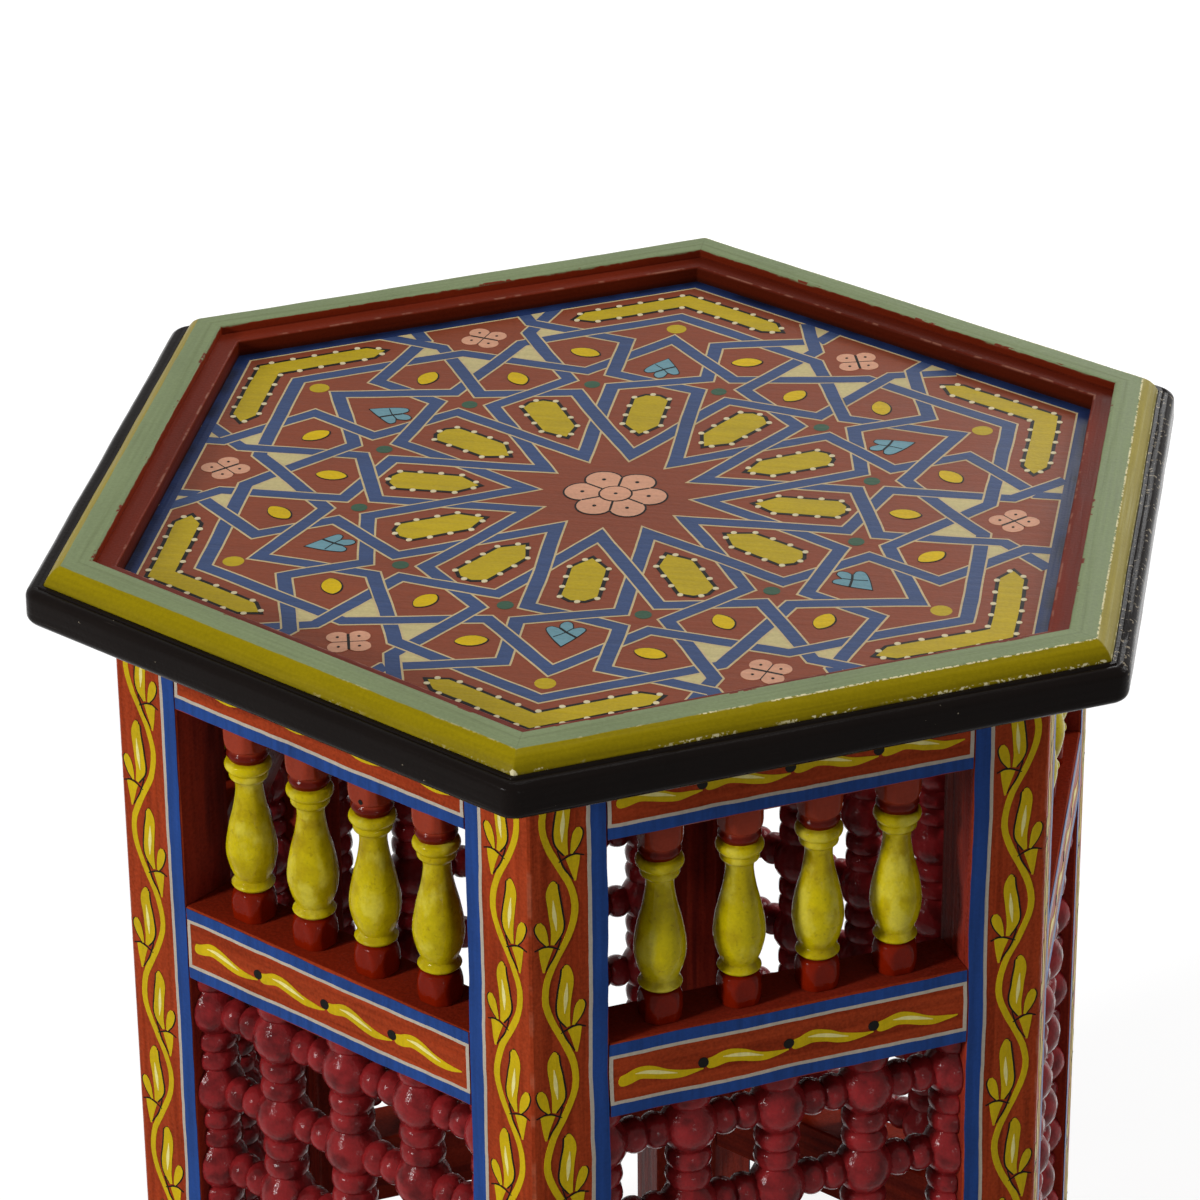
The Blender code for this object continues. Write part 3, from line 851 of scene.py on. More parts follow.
def gap_fills(bm):
    for direction in EDGE_DIRECTIONS:
        for mirror in (1, -1):
            for gap in GAPS:
                patch(bm, turned(gap, direction, mirror), FILL_COAT, on_panel)


MEDALLION = ((0.2440, 0.0), (0.2810, -0.0295), (0.3850, -0.0305), (0.4000, -0.0120),
             (0.4000, 0.0120), (0.3850, 0.0305), (0.2810, 0.0295))
DOT_SPACING = 0.0365
CHEVRON_SPACING = 0.0410
DOT_RADIUS = 0.0054
BORDER_GROWTH = 0.0068
CHEVRON_IN, CHEVRON_OUT = 0.6880, 0.7290
CHEVRON_SHOULDER, CHEVRON_TIP = 0.2150, 0.1870


def chevron(direction):
    """The bent bar in a corner, its arms along the two edges."""
    middle = (CHEVRON_IN + CHEVRON_OUT) / 2
    arm = [(CHEVRON_IN, CHEVRON_SHOULDER), (middle, CHEVRON_TIP), (CHEVRON_OUT, CHEVRON_SHOULDER)]
    lower = turned(arm, direction - HALF_TURN)
    upper = turned(arm, direction + HALF_TURN, -1)
    inner, outer = [polar(apothem / math.cos(HALF_TURN), direction) for apothem in (CHEVRON_IN, CHEVRON_OUT)]
    return lower + [outer] + upper[::-1] + [inner]


def medallions():
    """Outlines of the twelve petal medallions and the six corner chevrons, with the spacing of their dots."""
    petals = [(turned(MEDALLION, HALF_TURN * k), DOT_SPACING) for k in range(2 * SIDES)]
    return petals + [(chevron(direction), CHEVRON_SPACING) for direction in CORNER_DIRECTIONS]


def spaced(outline, spacing):
    """Points evenly spread round an outline."""
    sides = [(a, b) for a, b in zip(outline, outline[1:] + outline[:1])]
    total = sum((b - a).length for a, b in sides)
    count = max(3, round(total / spacing))
    places = []
    for i in range(count):
        left = (i + 0.5) * total / count
        for a, b in sides:
            length = (b - a).length
            if left <= length:
                places.append(a.lerp(b, left / length))
                break
            left -= length
    return places


# Yellow discs in the corners, green dots in the small stars, and yellow ovals pointed at both ends
CORNER_DISC_REACH, CORNER_DISC_RADIUS = 0.6920, 0.0185
GREEN_REACH, GREEN_RADIUS = 0.4480, 0.0145
EDGE_OVAL_REACH, CORNER_OVAL_REACH = 0.5050, 0.5850
OVAL_SPREAD = math.radians(14.8)
OVAL_TILT = math.radians(75)
OVAL_REACH, OVAL_HALF = 0.0275, 0.0170
OVAL_LINE = 0.0021
OVAL_OFF = Vector((0.0010, -0.0006))


def almond(centre, reach, half, turn, count=10):
    """An outline that is pointed at both ends."""
    upper = []
    for i in range(count):
        angle = math.pi * i / count
        upper.append((reach * math.cos(angle), half * math.sin(angle) ** 1.35))
    outline = upper + [(-x, -y) for x, y in upper]
    return [centre + Matrix.Rotation(turn, 2) @ Vector(point) for point in outline]


def oval_places():
    """The yellow ovals: middle and tilt."""
    places = [(polar(EDGE_OVAL_REACH, d), d) for d in EDGE_DIRECTIONS]
    for d in CORNER_DIRECTIONS:
        for mirror in (1, -1):
            places.append((polar(CORNER_OVAL_REACH, d + mirror * OVAL_SPREAD), d + mirror * OVAL_TILT))
    return places


# Flowers: middle, reach and radius of the petals, their number and the direction of the first
PETAL_POINTS = 12
CENTRE_FLOWER = (Vector((0.0, 0.0)), 0.0580, 0.0310, SIDES, 0.0)
CENTRE_RADIUS = 0.0270
CENTRE_DOT, EDGE_DOT = 0.0036, 0.0027
FLOWER_LINE = 0.0034
PETAL_LINE_END, PETAL_LINE = 0.0620, 0.0020
CROSS_REACH = 0.0270
CROSS_LINES = ((math.pi / 4, 0.0024), (-math.pi / 4, 0.0010))
EDGE_FLOWERS = [(polar(0.6930, d), 0.0245, 0.0188, 4, d) for d in EDGE_DIRECTIONS]


def flower_outline(centre, reach, radius, count, turn):
    """The outline of a flower of round petals."""
    points = []
    for i in range(count * PETAL_POINTS):
        off_petal = (i / PETAL_POINTS - round(i / PETAL_POINTS)) * TAU / count
        out = reach * math.cos(off_petal) + math.sqrt(radius ** 2 - (reach * math.sin(off_petal)) ** 2)
        points.append(centre + polar(out, turn + TAU * i / (count * PETAL_POINTS)))
    return points


def petal_middles(centre, reach, radius, count, turn):
    return [centre + polar(reach, turn + TAU * i / count) for i in range(count)]


def flower_lines(bm):
    """The black lines of the flowers: round the middle one and between petals, and a dot on each petal."""
    patch(bm, grown(flower_outline(*CENTRE_FLOWER), FLOWER_LINE), FIRST_COAT, on_panel)
    for direction in CORNER_DIRECTIONS:
        line = [polar(reach, direction) for reach in (CENTRE_RADIUS, PETAL_LINE_END)]
        stroke(bm, line, PETAL_LINE, THIRD_COAT, on_panel)
    patch(bm, disc((0.0, 0.0), CENTRE_RADIUS + FLOWER_LINE, 18), THIRD_COAT, on_panel)
    for spot in [Vector((0.0, 0.0))] + petal_middles(*CENTRE_FLOWER):
        patch(bm, disc(spot, CENTRE_DOT, 10), TOP_COAT, on_panel)
    for flower in EDGE_FLOWERS:
        centre, direction = flower[0], flower[-1]
        for turn, half in CROSS_LINES:
            aside = polar(CROSS_REACH, direction + turn)
            stroke(bm, [centre - aside, centre + aside], half, THIRD_COAT, on_panel)
        for spot in petal_middles(*flower):
            patch(bm, disc(spot, EDGE_DOT, 9), TOP_COAT, on_panel)


def pink_flowers(bm):
    for flower in [CENTRE_FLOWER] + EDGE_FLOWERS:
        patch(bm, flower_outline(*flower), SECOND_COAT, on_panel)
    patch(bm, disc((0.0, 0.0), CENTRE_RADIUS, 18), FOURTH_COAT, on_panel)


LEAF_REACH = 0.5100
LEAF = ((0.0520, 0.0000), (0.0300, 0.0160), (0.0060, 0.0290), (-0.0080, 0.0320), (-0.0140, 0.0240),
        (-0.0090, 0.0110), (-0.0220, 0.0105), (-0.0320, 0.0030), (-0.0280, -0.0070), (-0.0140, -0.0105),
        (-0.0090, -0.0120), (-0.0140, -0.0240), (-0.0080, -0.0320), (0.0060, -0.0270), (0.0300, -0.0140))
LEAF_LINE = 0.0019
LEAF_TILT = 0.35
LEAF_RIBS = ((((-0.0100, 0.0110), (0.0060, -0.0040), (0.0200, -0.0200)), 0.0022),
             (((-0.0100, -0.0110), (0.0060, 0.0010), (0.0220, 0.0180)), 0.0010))


def corner_leaf(points, index):
    """Points of a corner leaf in place; every other one is a mirror image, and each has its own tilt."""
    direction = CORNER_DIRECTIONS[index]
    mirror = 1 if index % 2 else -1
    tilt = LEAF_TILT * noise.noise(Vector((index * 3.1, 0.5, 0.0)))
    return [polar(LEAF_REACH, direction) + point for point in turned(points, direction + tilt, mirror)]


def leaf_outline(index):
    line = smooth_line(corner_leaf(LEAF + LEAF[:1], index), 3)[:-1]
    return line if index % 2 else line[::-1]


def panel_painting():
    """Every coat of the top's pattern."""
    blue, cream = strap_coats()
    shapes = medallions()

    def black(bm):
        for outline, spacing in shapes:
            patch(bm, fine_line(grown(outline, BORDER_GROWTH), FINE_STEP, True), FIRST_COAT, on_panel)
        for centre, tilt in oval_places():
            outline = almond(centre + OVAL_OFF, OVAL_REACH, OVAL_HALF, tilt)
            patch(bm, grown(outline, OVAL_LINE), FIRST_COAT, on_panel)
        for index in range(SIDES):
            stroke(bm, leaf_outline(index), LEAF_LINE, FIRST_COAT, on_panel, closed=True)
            for rib, half in LEAF_RIBS:
                stroke(bm, smooth_line(corner_leaf(rib, index), 4), half, THIRD_COAT, on_panel)
        flower_lines(bm)

    def mustard(bm):
        for outline, spacing in shapes:
            patch(bm, fine_line(outline, FINE_STEP, True), SECOND_COAT, on_panel)
        for direction in CORNER_DIRECTIONS:
            patch(bm, disc(polar(CORNER_DISC_REACH, direction), CORNER_DISC_RADIUS, 16), FILL_COAT, on_panel)

    def dots(bm):
        for outline, spacing in shapes:
            for spot in spaced(grown(outline, BORDER_GROWTH * 0.7), spacing):
                patch(bm, disc(spot, DOT_RADIUS, 9), FOURTH_COAT, on_panel)

    def ovals(bm):
        for centre, tilt in oval_places():
            patch(bm, almond(centre, OVAL_REACH, OVAL_HALF, tilt), SECOND_COAT, on_panel)

    def leaves(bm):
        for index in range(SIDES):
            patch(bm, leaf_outline(index), SECOND_COAT, on_panel)

    def green(bm):
        for k in range(2 * SIDES):
            spot = polar(GREEN_REACH, HALF_TURN * (k + 0.5))
            patch(bm, disc(spot, GREEN_RADIUS, 14), FIRST_COAT, on_panel)

    coats = (
        ("panel_blue_straps", blue, plain_paint("panel_blue", STRAP_BLUE, mottle=0.2, streak=0.24)),
        ("panel_blue_border", blue_border, border_paint()),
        ("panel_cream_lines", cream, plain_paint("panel_cream", CREAM)),
        ("panel_gap_fills", gap_fills, plain_paint("panel_straw", STRAW)),
        ("panel_black_borders", black, plain_paint("panel_black", BLACK)),
        ("panel_mustard_medallions", mustard, plain_paint("panel_mustard", MUSTARD, mottle=0.22)),
        ("panel_cream_dots", dots, plain_paint("panel_dot_cream", DOT_CREAM)),
        ("panel_yellow_ovals", ovals, plain_paint("panel_yolk", YOLK, mottle=0.25)),
        ("panel_pink_flowers", pink_flowers, plain_paint("panel_pink", PINK)),
        ("panel_steel_leaves", leaves, plain_paint("panel_steel", STEEL, mottle=0.24)),
        ("panel_green_dots", green, plain_paint("panel_green", GREEN)),
    )
    for name, build, finish in coats:
        new_piece(name, new_mesh(name, build), finish)


# Lines, strips and leaves of the sides
STRIP = 0.0056
LINE = 0.0013
RAIL_STRIP = 0.0047
RAIL_END = OPENING_HALF - GLUE_GAP
RAIL_SPANS = ((FOOT_TOP, BOTTOM_RAIL_TOP), (MID_RAIL_LOW, MID_RAIL_TOP), (TOP_RAIL_LOW, BODY_TOP))
VINE_TOP_BEND = 0.4121
VINE_HALF_WAVE = 0.0320
VINE_SWING = 0.0054
VINE_HALF = 0.00115
VINE_STEP = 0.003
PAINT_FOOT = 0.0012
VINE_FOOT = 0.0015
STRIP_OFF = 0.0005
LEAF_PITCH = 0.0302
RAIL_LEAVES = 4
SIDE_WAVER, SIDE_FINE_WAVER = 0.0007, 0.00026


def on_side(side):
    """Places points (across, up, lift) on a side's outer face, a little off the ruled line."""
    turn = Matrix.Rotation(side_turn(side), 3, "Z")

    def place(across, up, lift):
        seed = 11.0 * side
        drift = waver(across, up, 30.0, seed) * SIDE_WAVER + waver(across, up, 160.0, seed) * SIDE_FINE_WAVER
        return turn @ Vector((across + drift.x, -BODY_APOTHEM - lift, up + drift.y))

    return place


def bar(bm, low, high, lift, place):
    """A painted bar between two corners, cut fine enough to waver."""
    width, height = high[0] - low[0], high[1] - low[1]
    if width > height:
        middle = (low[1] + high[1]) / 2
        stroke(bm, fine_line([(low[0], middle), (high[0], middle)], 0.004), height / 2, lift, place)
    else:
        middle = (low[0] + high[0]) / 2
        stroke(bm, fine_line([(middle, low[1]), (middle, high[1])], 0.004), width / 2, lift, place)


def side_strips(bm, place):
    """Blue strips round the openings."""
    for mirror in (-1, 1):
        near, far = sorted((mirror * (OPENING_HALF + GLUE_GAP), mirror * (OPENING_HALF + STRIP)))
        bar(bm, (near, PAINT_FOOT), (far, BODY_TOP), SECOND_COAT, place)
    for low, high in RAIL_SPANS:
        for edge, into in ((low, 1), (high, -1)):
            ends = sorted((edge + into * STRIP_OFF, edge + into * RAIL_STRIP))
            bar(bm, (-RAIL_END, ends[0]), (RAIL_END, ends[1]), SECOND_COAT, place)


def side_lines(bm, place):
    """White lines between the blue strips and the red fields."""
    for mirror in (-1, 1):
        start = OPENING_HALF + STRIP
        near, far = sorted((mirror * start, mirror * (start + LINE)))
        bar(bm, (near, PAINT_FOOT), (far, BODY_TOP), FIRST_COAT, place)
    for low, high in RAIL_SPANS:
        inner = (low + RAIL_STRIP, high - RAIL_STRIP)
        bar(bm, (-RAIL_END, inner[0]), (RAIL_END, inner[0] + LINE), FIRST_COAT, place)
        bar(bm, (-RAIL_END, inner[1] - LINE), (RAIL_END, inner[1]), FIRST_COAT, place)
        bar(bm, (-RAIL_END, inner[0]), (-RAIL_END + LINE, inner[1]), FIRST_COAT, place)
        bar(bm, (RAIL_END - LINE, inner[0]), (RAIL_END, inner[1]), FIRST_COAT, place)


# Brush marks as (across, up, half width), a spray's from the tip of its calyx with + away from the stem
SPRAY_LEAF = ((-0.0029, 0.0100, 0.0006), (-0.0046, 0.0155, 0.0022), (-0.0041, 0.0220, 0.0023),
              (-0.0032, 0.0285, 0.0021), (-0.0037, 0.0322, 0.0013), (-0.0042, 0.0330, 0.0003))
SPRAY_SIDE = ((-0.0013, 0.0102, 0.0004), (0.0002, 0.0138, 0.0015), (0.0013, 0.0173, 0.0016),
              (0.0015, 0.0192, 0.0006))
SPRAY_CALYX = ((0.0000, 0.0000, 0.0003), (-0.0003, 0.0049, 0.0015), (-0.0008, 0.0094, 0.0026))
SPRAY_ARC = ((0.0031, 0.0089, 0.0002), (-0.0007, 0.0099, 0.0003), (-0.0056, 0.0078, 0.0002))
SPRAY_EDGE = ((-0.0060, 0.0120, 0.0002), (-0.0040, 0.0060, 0.0003), (-0.0006, 0.0006, 0.0002))
SPRAY_LIGHT = ((-0.0044, 0.0150, 0.0001), (-0.0039, 0.0205, 0.0007), (-0.0034, 0.0265, 0.0001))
SPRAY_FOOT = 0.0225
SPRAY_ASIDE = 0.0056
RAIL_LEAF = ((0.0004, -0.0009, 0.0006), (0.0012, -0.0009, 0.0018), (0.0035, -0.0006, 0.0021),
             (0.0079, 0.0007, 0.0024), (0.0125, -0.0001, 0.0023), (0.0171, -0.0018, 0.0019),
             (0.0217, -0.0028, 0.0015),
             (0.0263, -0.0027, 0.0008), (0.0296, -0.0024, 0.0002))
RAIL_LIGHT = ((0.0062, 0.0008, 0.0001), (0.0100, 0.0006, 0.0006), (0.0145, -0.0004, 0.0007),
              (0.0205, -0.0022, 0.0001))
RAIL_DOT = 0.0019
RAIL_DOT_OFF = (-0.0006, -0.0002)
LEAF_OUTLINE = (0.00035, -0.0003)
SIDE_OUTLINE = (0.00032, 0.0002)
THINNEST = 0.00006
SPRAY_LOWEST = 0.004


def brush_mark(bm, marks, lift, place, origin, mirror=1, wider=0.0, aside=0.0):
    """One pull of the brush through marks set out from an origin."""
    line = smooth_line([Vector(mark) for mark in marks], 5)
    spine = [(origin[0] + mirror * (p.x + aside), origin[1] + p.y) for p in line]
    stroke(bm, spine, [max(THINNEST, p.z + wider) for p in line], lift, place)


def stiles():
    """Middle lines of a side's two stile fields, with the side of each that the stem starts on at the top."""
    middle = OPENING_HALF + (STRIP + LINE + STILE_WIDTH) / 2
    return ((-middle, -1), (middle, 1))


def sprays(middle, start):
    """Calyx tips of the sprays down a stile and the way each leans: ((across, up), mirror)."""
    tips = []
    lean = -start
    up = VINE_TOP_BEND - SPRAY_FOOT
    while up > SPRAY_LOWEST:
        tips.append(((middle + lean * SPRAY_ASIDE, up), lean))
        lean, up = -lean, up - VINE_HALF_WAVE
    return tips


def vine_line(middle, start):
    count = int(BODY_TOP / VINE_STEP)
    ups = [VINE_FOOT + (BODY_TOP - 2 * VINE_FOOT) * i / count for i in range(count + 1)]
    return [(middle + start * VINE_SWING * math.cos(math.pi * (up - VINE_TOP_BEND) / VINE_HALF_WAVE), up)
            for up in ups]


def rail_feet():
    """Where each rail's leaves start."""
    starts = [(i - RAIL_LEAVES / 2) * LEAF_PITCH for i in range(RAIL_LEAVES)]
    return [(start, (low + high) / 2) for low, high in RAIL_SPANS for start in starts]


def side_painting(side, finishes):
    """Strips, lines, vines and leaves of one side."""
    place = on_side(side)

    def leaves(bm):
        for middle, start in stiles():
            stroke(bm, vine_line(middle, start), VINE_HALF, SECOND_COAT, place)
            for tip, lean in sprays(middle, start):
                for marks in (SPRAY_LEAF, SPRAY_SIDE, SPRAY_CALYX):
                    brush_mark(bm, marks, SECOND_COAT, place, tip, lean)
        for foot in rail_feet():
            brush_mark(bm, RAIL_LEAF, SECOND_COAT, place, foot)

    def outlines(bm):
        for middle, start in stiles():
            for tip, lean in sprays(middle, start):
                brush_mark(bm, SPRAY_LEAF, FIRST_COAT, place, tip, lean, *LEAF_OUTLINE)
                brush_mark(bm, SPRAY_SIDE, FIRST_COAT, place, tip, lean, *SIDE_OUTLINE)
                for marks in (SPRAY_ARC, SPRAY_EDGE):
                    brush_mark(bm, marks, THIRD_COAT, place, tip, lean)
        for index, foot in enumerate(rail_feet()):
            if index % RAIL_LEAVES:
                spot = Vector(foot) + Vector(RAIL_DOT_OFF)
                patch(bm, disc(spot, RAIL_DOT, 14), THIRD_COAT, place)

    def lights(bm):
        for middle, start in stiles():
            for tip, lean in sprays(middle, start):
                brush_mark(bm, SPRAY_LIGHT, THIRD_COAT, place, tip, lean)
        for foot in rail_feet():
            brush_mark(bm, RAIL_LIGHT, THIRD_COAT, place, foot)

    coats = (
        ("blue_strips", lambda bm: side_strips(bm, place)),
        ("white_lines", lambda bm: side_lines(bm, place)),
        ("yellow_leaves", leaves),
        ("black_outlines", outlines),
        ("leaf_lights", lights),
    )
    for name, build in coats:
        full = f"side_{side + 1}_{name}"
        new_piece(full, new_mesh(full, build), finishes[name])


def body_painting():
    finishes = {
        "blue_strips": plain_paint("side_blue", BODY_BLUE, STROKES_UPRIGHT, 0.34, mottle=0.28, streak=0.45),
        "white_lines": plain_paint("side_white", WHITE_LINE, STROKES_UPRIGHT),
        "yellow_leaves": plain_paint("side_yellow", LEAF_YELLOW, STROKES_UPRIGHT, 0.32, mottle=0.26),
        "black_outlines": plain_paint("side_black", BLACK, STROKES_UPRIGHT),
        "leaf_lights": plain_paint("side_light_yellow", LEAF_LIGHT, STROKES_UPRIGHT),
    }
    for side in range(SIDES):
        side_painting(side, finishes)


# Turned spindles: rings from the foot of the opening up
SPINDLE_HEIGHT = 0.0758
BLOCK_HALF = 0.0066
BLOCK_CORNER = 0.0077
SPINDLE_YELLOW_LOW = 0.0117
SPINDLE_YELLOW_HIGH = 0.0610
SPINDLE_AROUND = 64
BLOCK_END, HEAD_START = 0.0116, 0.0651
SPINDLE_CURVES = (
    ((0.0074, 0.0012), (BLOCK_CORNER, 0.0046), (0.0075, 0.0078), (0.0067, 0.0103), (0.0054, 0.0115)),
    ((0.0060, 0.0117), (0.0074, 0.0132), (0.0063, 0.0149)),
    ((0.0060, 0.0154), (0.0078, 0.0204), (0.0087, 0.0268), (0.0075, 0.0352), (0.0056, 0.0432),
     (0.0047, 0.0492), (0.0048, 0.0523)),
    ((0.0053, 0.0530), (0.0064, 0.0540), (0.0066, 0.0551), (0.0063, 0.0560)),
    ((0.0066, 0.0563), (0.0077, 0.0576), (0.0080, 0.0590), (0.0075, 0.0603), (0.0063, 0.0609)),
    ((0.0063, 0.0612), (0.0072, 0.0631), (0.0064, 0.0649)),
    ((0.0065, 0.0652), (0.0073, 0.0659), (0.0077, 0.0672), (0.0079, 0.0690)),
)
FOOT_CORNER, HEAD_CORNER = 0.0072, 0.0080
UNEVEN = 0.012
SPINDLES = 4
SPINDLE_PITCH = 0.0830 / 3
CURVE_STEPS = 5


def square_reach(angle, half):
    """From the axis to the face of a square block."""
    return half / max(abs(math.cos(angle)), abs(math.sin(angle)))


def spindle_rings():
    """Rings (radius, up): the square foot, the turned curves one after another, the square head."""
    turned_part = [point for curve in SPINDLE_CURVES for point in smooth_line(curve, CURVE_STEPS)]
    foot, head = (FOOT_CORNER, GLUE_GAP), (HEAD_CORNER, SPINDLE_HEIGHT - GLUE_GAP)
    return [foot] + [tuple(point) for point in turned_part] + [head]


def build_spindle(bm):
    """A turned spindle whose square ends are cut round where the turning starts."""
    loops = []
    for radius, up in spindle_rings():
        loop = []
        for i in range(SPINDLE_AROUND):
            angle = TAU * i / SPINDLE_AROUND
            is_block = not BLOCK_END < up < HEAD_START
            reach = min(radius, square_reach(angle, BLOCK_HALF)) if is_block else radius
            hand = noise.noise(Vector((*polar(2.0, angle), up * 90.0)))
            loop.append(Vector((*polar(reach * (1.0 + UNEVEN * hand), angle), up)))
        loops.append(loop)
    add_loops(bm, loops, joined=False)


NAIL_SIDE, NAIL_PLACE = 5, 2
NAIL_UP = 0.0668
NAIL_RADIUS = 0.0009
NAIL_OFF = 0.0010


def spindle_across(index):
    return (index - (SPINDLES - 1) / 2) * SPINDLE_PITCH


def nail_hole():
    """The one nail hole that shows, in a spindle's head on the left of the front corner."""
    turn = Matrix.Rotation(side_turn(NAIL_SIDE), 3, "Z")

    def place(across, up, lift):
        return turn @ Vector((across, RAIL_MIDDLE - BLOCK_HALF - lift, up))

    spot = (spindle_across(NAIL_PLACE) + NAIL_OFF, MID_RAIL_TOP + NAIL_UP)
    mesh = new_mesh("nail_hole", lambda bm: patch(bm, disc(spot, NAIL_RADIUS, 14), FOURTH_COAT, place))
    new_piece("nail_hole", mesh, plain_paint("nail_hole_black", BLACK))


def turned_spindles():
    mesh = new_mesh("turned_spindle", build_spindle, smooth=38)
    finish = spindle_paint()
    for side in range(SIDES):
        turn = Matrix.Rotation(side_turn(side), 3, "Z")
        for i in range(SPINDLES):
            foot = turn @ Vector((spindle_across(i), RAIL_MIDDLE, MID_RAIL_TOP))
            spin = side_turn(side)
            piece = new_piece(f"turned_spindle_{side + 1}_{i + 1}", mesh, finish, spin, foot)
            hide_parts(f"spindle_{side + 1}_{i + 1}")


# Lattice of turned bars: balls where bars cross, two beads with a groove between
BAR_PITCH = 0.0317
GAPS_ACROSS = 4
BARS_UP = 6
BALL_RADIUS = 0.0101
UPRIGHT_BAR = (0.0080, 0.0062)
LEVEL_BAR = (0.0064, 0.0044)
BEAD_MIDDLE = 0.0120
BEAD_HALF = 0.0036
LATTICE_AROUND = 14
BALL_STEPS = (0.0, 0.0030, 0.0056, 0.0076, 0.0084)
LINK_START = 0.0070
LINK_STEPS = (0.0090, 0.0100, 0.0110, 0.0120, 0.0130, 0.0140, 0.0149, 0.01585)


def bar_radius(off, bead_and_groove):
    """A bar's radius by the distance from the nearest ball's middle."""
    bead, groove = bead_and_groove
    ball = math.sqrt(max(0.0, BALL_RADIUS ** 2 - off ** 2))
    share = min(1.0, abs(off - BEAD_MIDDLE) / BEAD_HALF)
    return max(ball, groove + (bead - groove) * math.sqrt(max(0.0, 1.0 - share * share)))


def add_bar(bm, rings, place):
    loops = []
    for radius, along in rings:
        points = [polar(radius, TAU * i / LATTICE_AROUND) for i in range(LATTICE_AROUND)]
        loops.append([place(point, along) for point in points])
    add_loops(bm, loops, joined=False)


def upright_bar(bm, x, rows):
    """A bar with a ball at every row, cut flat where it would run into a post."""
    def place(point, along):
        return Vector((max(-RAIL_END, min(RAIL_END, x + point.x)), RAIL_MIDDLE + point.y, along))

    steps = BALL_STEPS + LINK_STEPS
    sizes = [(bar_radius(step, UPRIGHT_BAR), step) for step in steps]
    rings = []
    for row in rows:
        below = [(radius, row - step) for radius, step in reversed(sizes)]
        rings += below[1 if rings else 0:] + [(radius, row + step) for radius, step in sizes[1:]]
    add_bar(bm, rings, place)


def level_link(bm, x, z):
    """The turned link between the balls at x and one pitch further on."""
    def place(point, along):
        return Vector((along, RAIL_MIDDLE + point.x, z + point.y))

    outward = [(LEVEL_BAR[1], LINK_START)] + [(bar_radius(step, LEVEL_BAR), step) for step in LINK_STEPS]
    rings = [(radius, x + step) for radius, step in outward]
    rings += [(radius, x + BAR_PITCH - step) for radius, step in reversed(outward[:-1])]
    add_bar(bm, rings, place)


def build_lattice(bm):
    """Upright bars, the outer two cut to half bars along the posts, with level links between."""
    columns = [(i - GAPS_ACROSS / 2) * BAR_PITCH for i in range(GAPS_ACROSS + 1)]
    rows = [BOTTOM_RAIL_TOP + (i + 0.5) * BAR_PITCH for i in range(BARS_UP)]
    for x in columns:
        upright_bar(bm, x, rows)
    for z in rows:
        for x in columns[:-1]:
            level_link(bm, x, z)


def turned_lattices():
    mesh = new_mesh("turned_lattice", build_lattice, smooth=50)
    finish = lattice_paint()
    for side in range(SIDES):
        piece = new_piece(f"turned_lattice_{side + 1}", mesh, finish, side_turn(side))
        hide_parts(f"lattice_{side + 1}")


# Rim and edge moulding, swept round the hexagon
RUN_STEPS = 30
CORNER_STEPS = 5
PLANE_WAVER = 0.00022
PLANE_WAVES = ((38.0, 160.0, 1.0), (160.0, 300.0, 0.35))
RIM_CORNER, FILLET_CORNER, NOSE_CORNER = 0.0009, 0.0012, 0.0068
RIM_TONGUE = 0.0100
FILLET_WIDTH = 0.0013
NOSE_RADIUS = 0.0036
NOSE_STEPS = 7


def ring(apothem, height, corner_round):
    """A hexagon with rounded corners and points along its sides, planed by hand."""
    arcs = []
    for direction in CORNER_DIRECTIONS:
        centre = polar((apothem - corner_round) / math.cos(HALF_TURN), direction)
        arcs.append([centre + polar(corner_round, direction + HALF_TURN * (2 * i / CORNER_STEPS - 1))
                     for i in range(CORNER_STEPS + 1)])
    points = []
    for arc, following in zip(arcs, arcs[1:] + arcs[:1]):
        points += arc
        points += [arc[-1].lerp(following[0], i / RUN_STEPS) for i in range(1, RUN_STEPS)]
    loop = []
    for point in points:
        drift = 0.0
        for scale, rise, share in PLANE_WAVES:
            spot = Vector((point.x * scale, point.y * scale, height * rise))
            drift += noise.noise(spot) * PLANE_WAVER * share
        loop.append(Vector((*(point * (1.0 + drift / apothem)), height + drift * 0.6)))
    return loop


def rounded(profile, roundings, steps=4):
    """A profile with some of its corners rounded: roundings gives a radius by corner."""
    points = [Vector(p) for p in profile]
    result = []
    for i, point in enumerate(points):
        radius = roundings.get(i, 0.0)
        if not radius:
            result.append(point)
            continue
        before = point + (points[i - 1] - point).normalized() * radius
        after = point + (points[(i + 1) % len(points)] - point).normalized() * radius
        for n in range(steps + 1):
            share = n / steps
            result.append(before.lerp(point, share).lerp(point.lerp(after, share), share))
    return result


def build_rim(bm):
    low = TONGUE_TOP + GLUE_GAP
    profile = [(RECESS, low), (RECESS, PANEL_TOP + 0.0030), (RECESS, LEDGE_TOP),
               (FLAT_IN, LEDGE_TOP + 0.0003), (FLAT_IN, TABLE_TOP),
               ((FLAT_IN + FLAT_OUT) / 2, TABLE_TOP + 0.00008), (FLAT_OUT, TABLE_TOP),
               (FLAT_OUT + 0.0024, TABLE_TOP - 0.0016), (FLAT_OUT + 0.0042, TABLE_TOP - 0.0038),
               (SLOPE_OUT, NOSE_TOP), (SLOPE_OUT, low)]
    profile = rounded(profile, {2: 0.0008, 4: 0.0006, 6: 0.0006, 7: 0.0008, 8: 0.0008, 9: 0.0003})
    add_loops(bm, [ring(p.x, p.y, RIM_CORNER) for p in profile], joined=True)


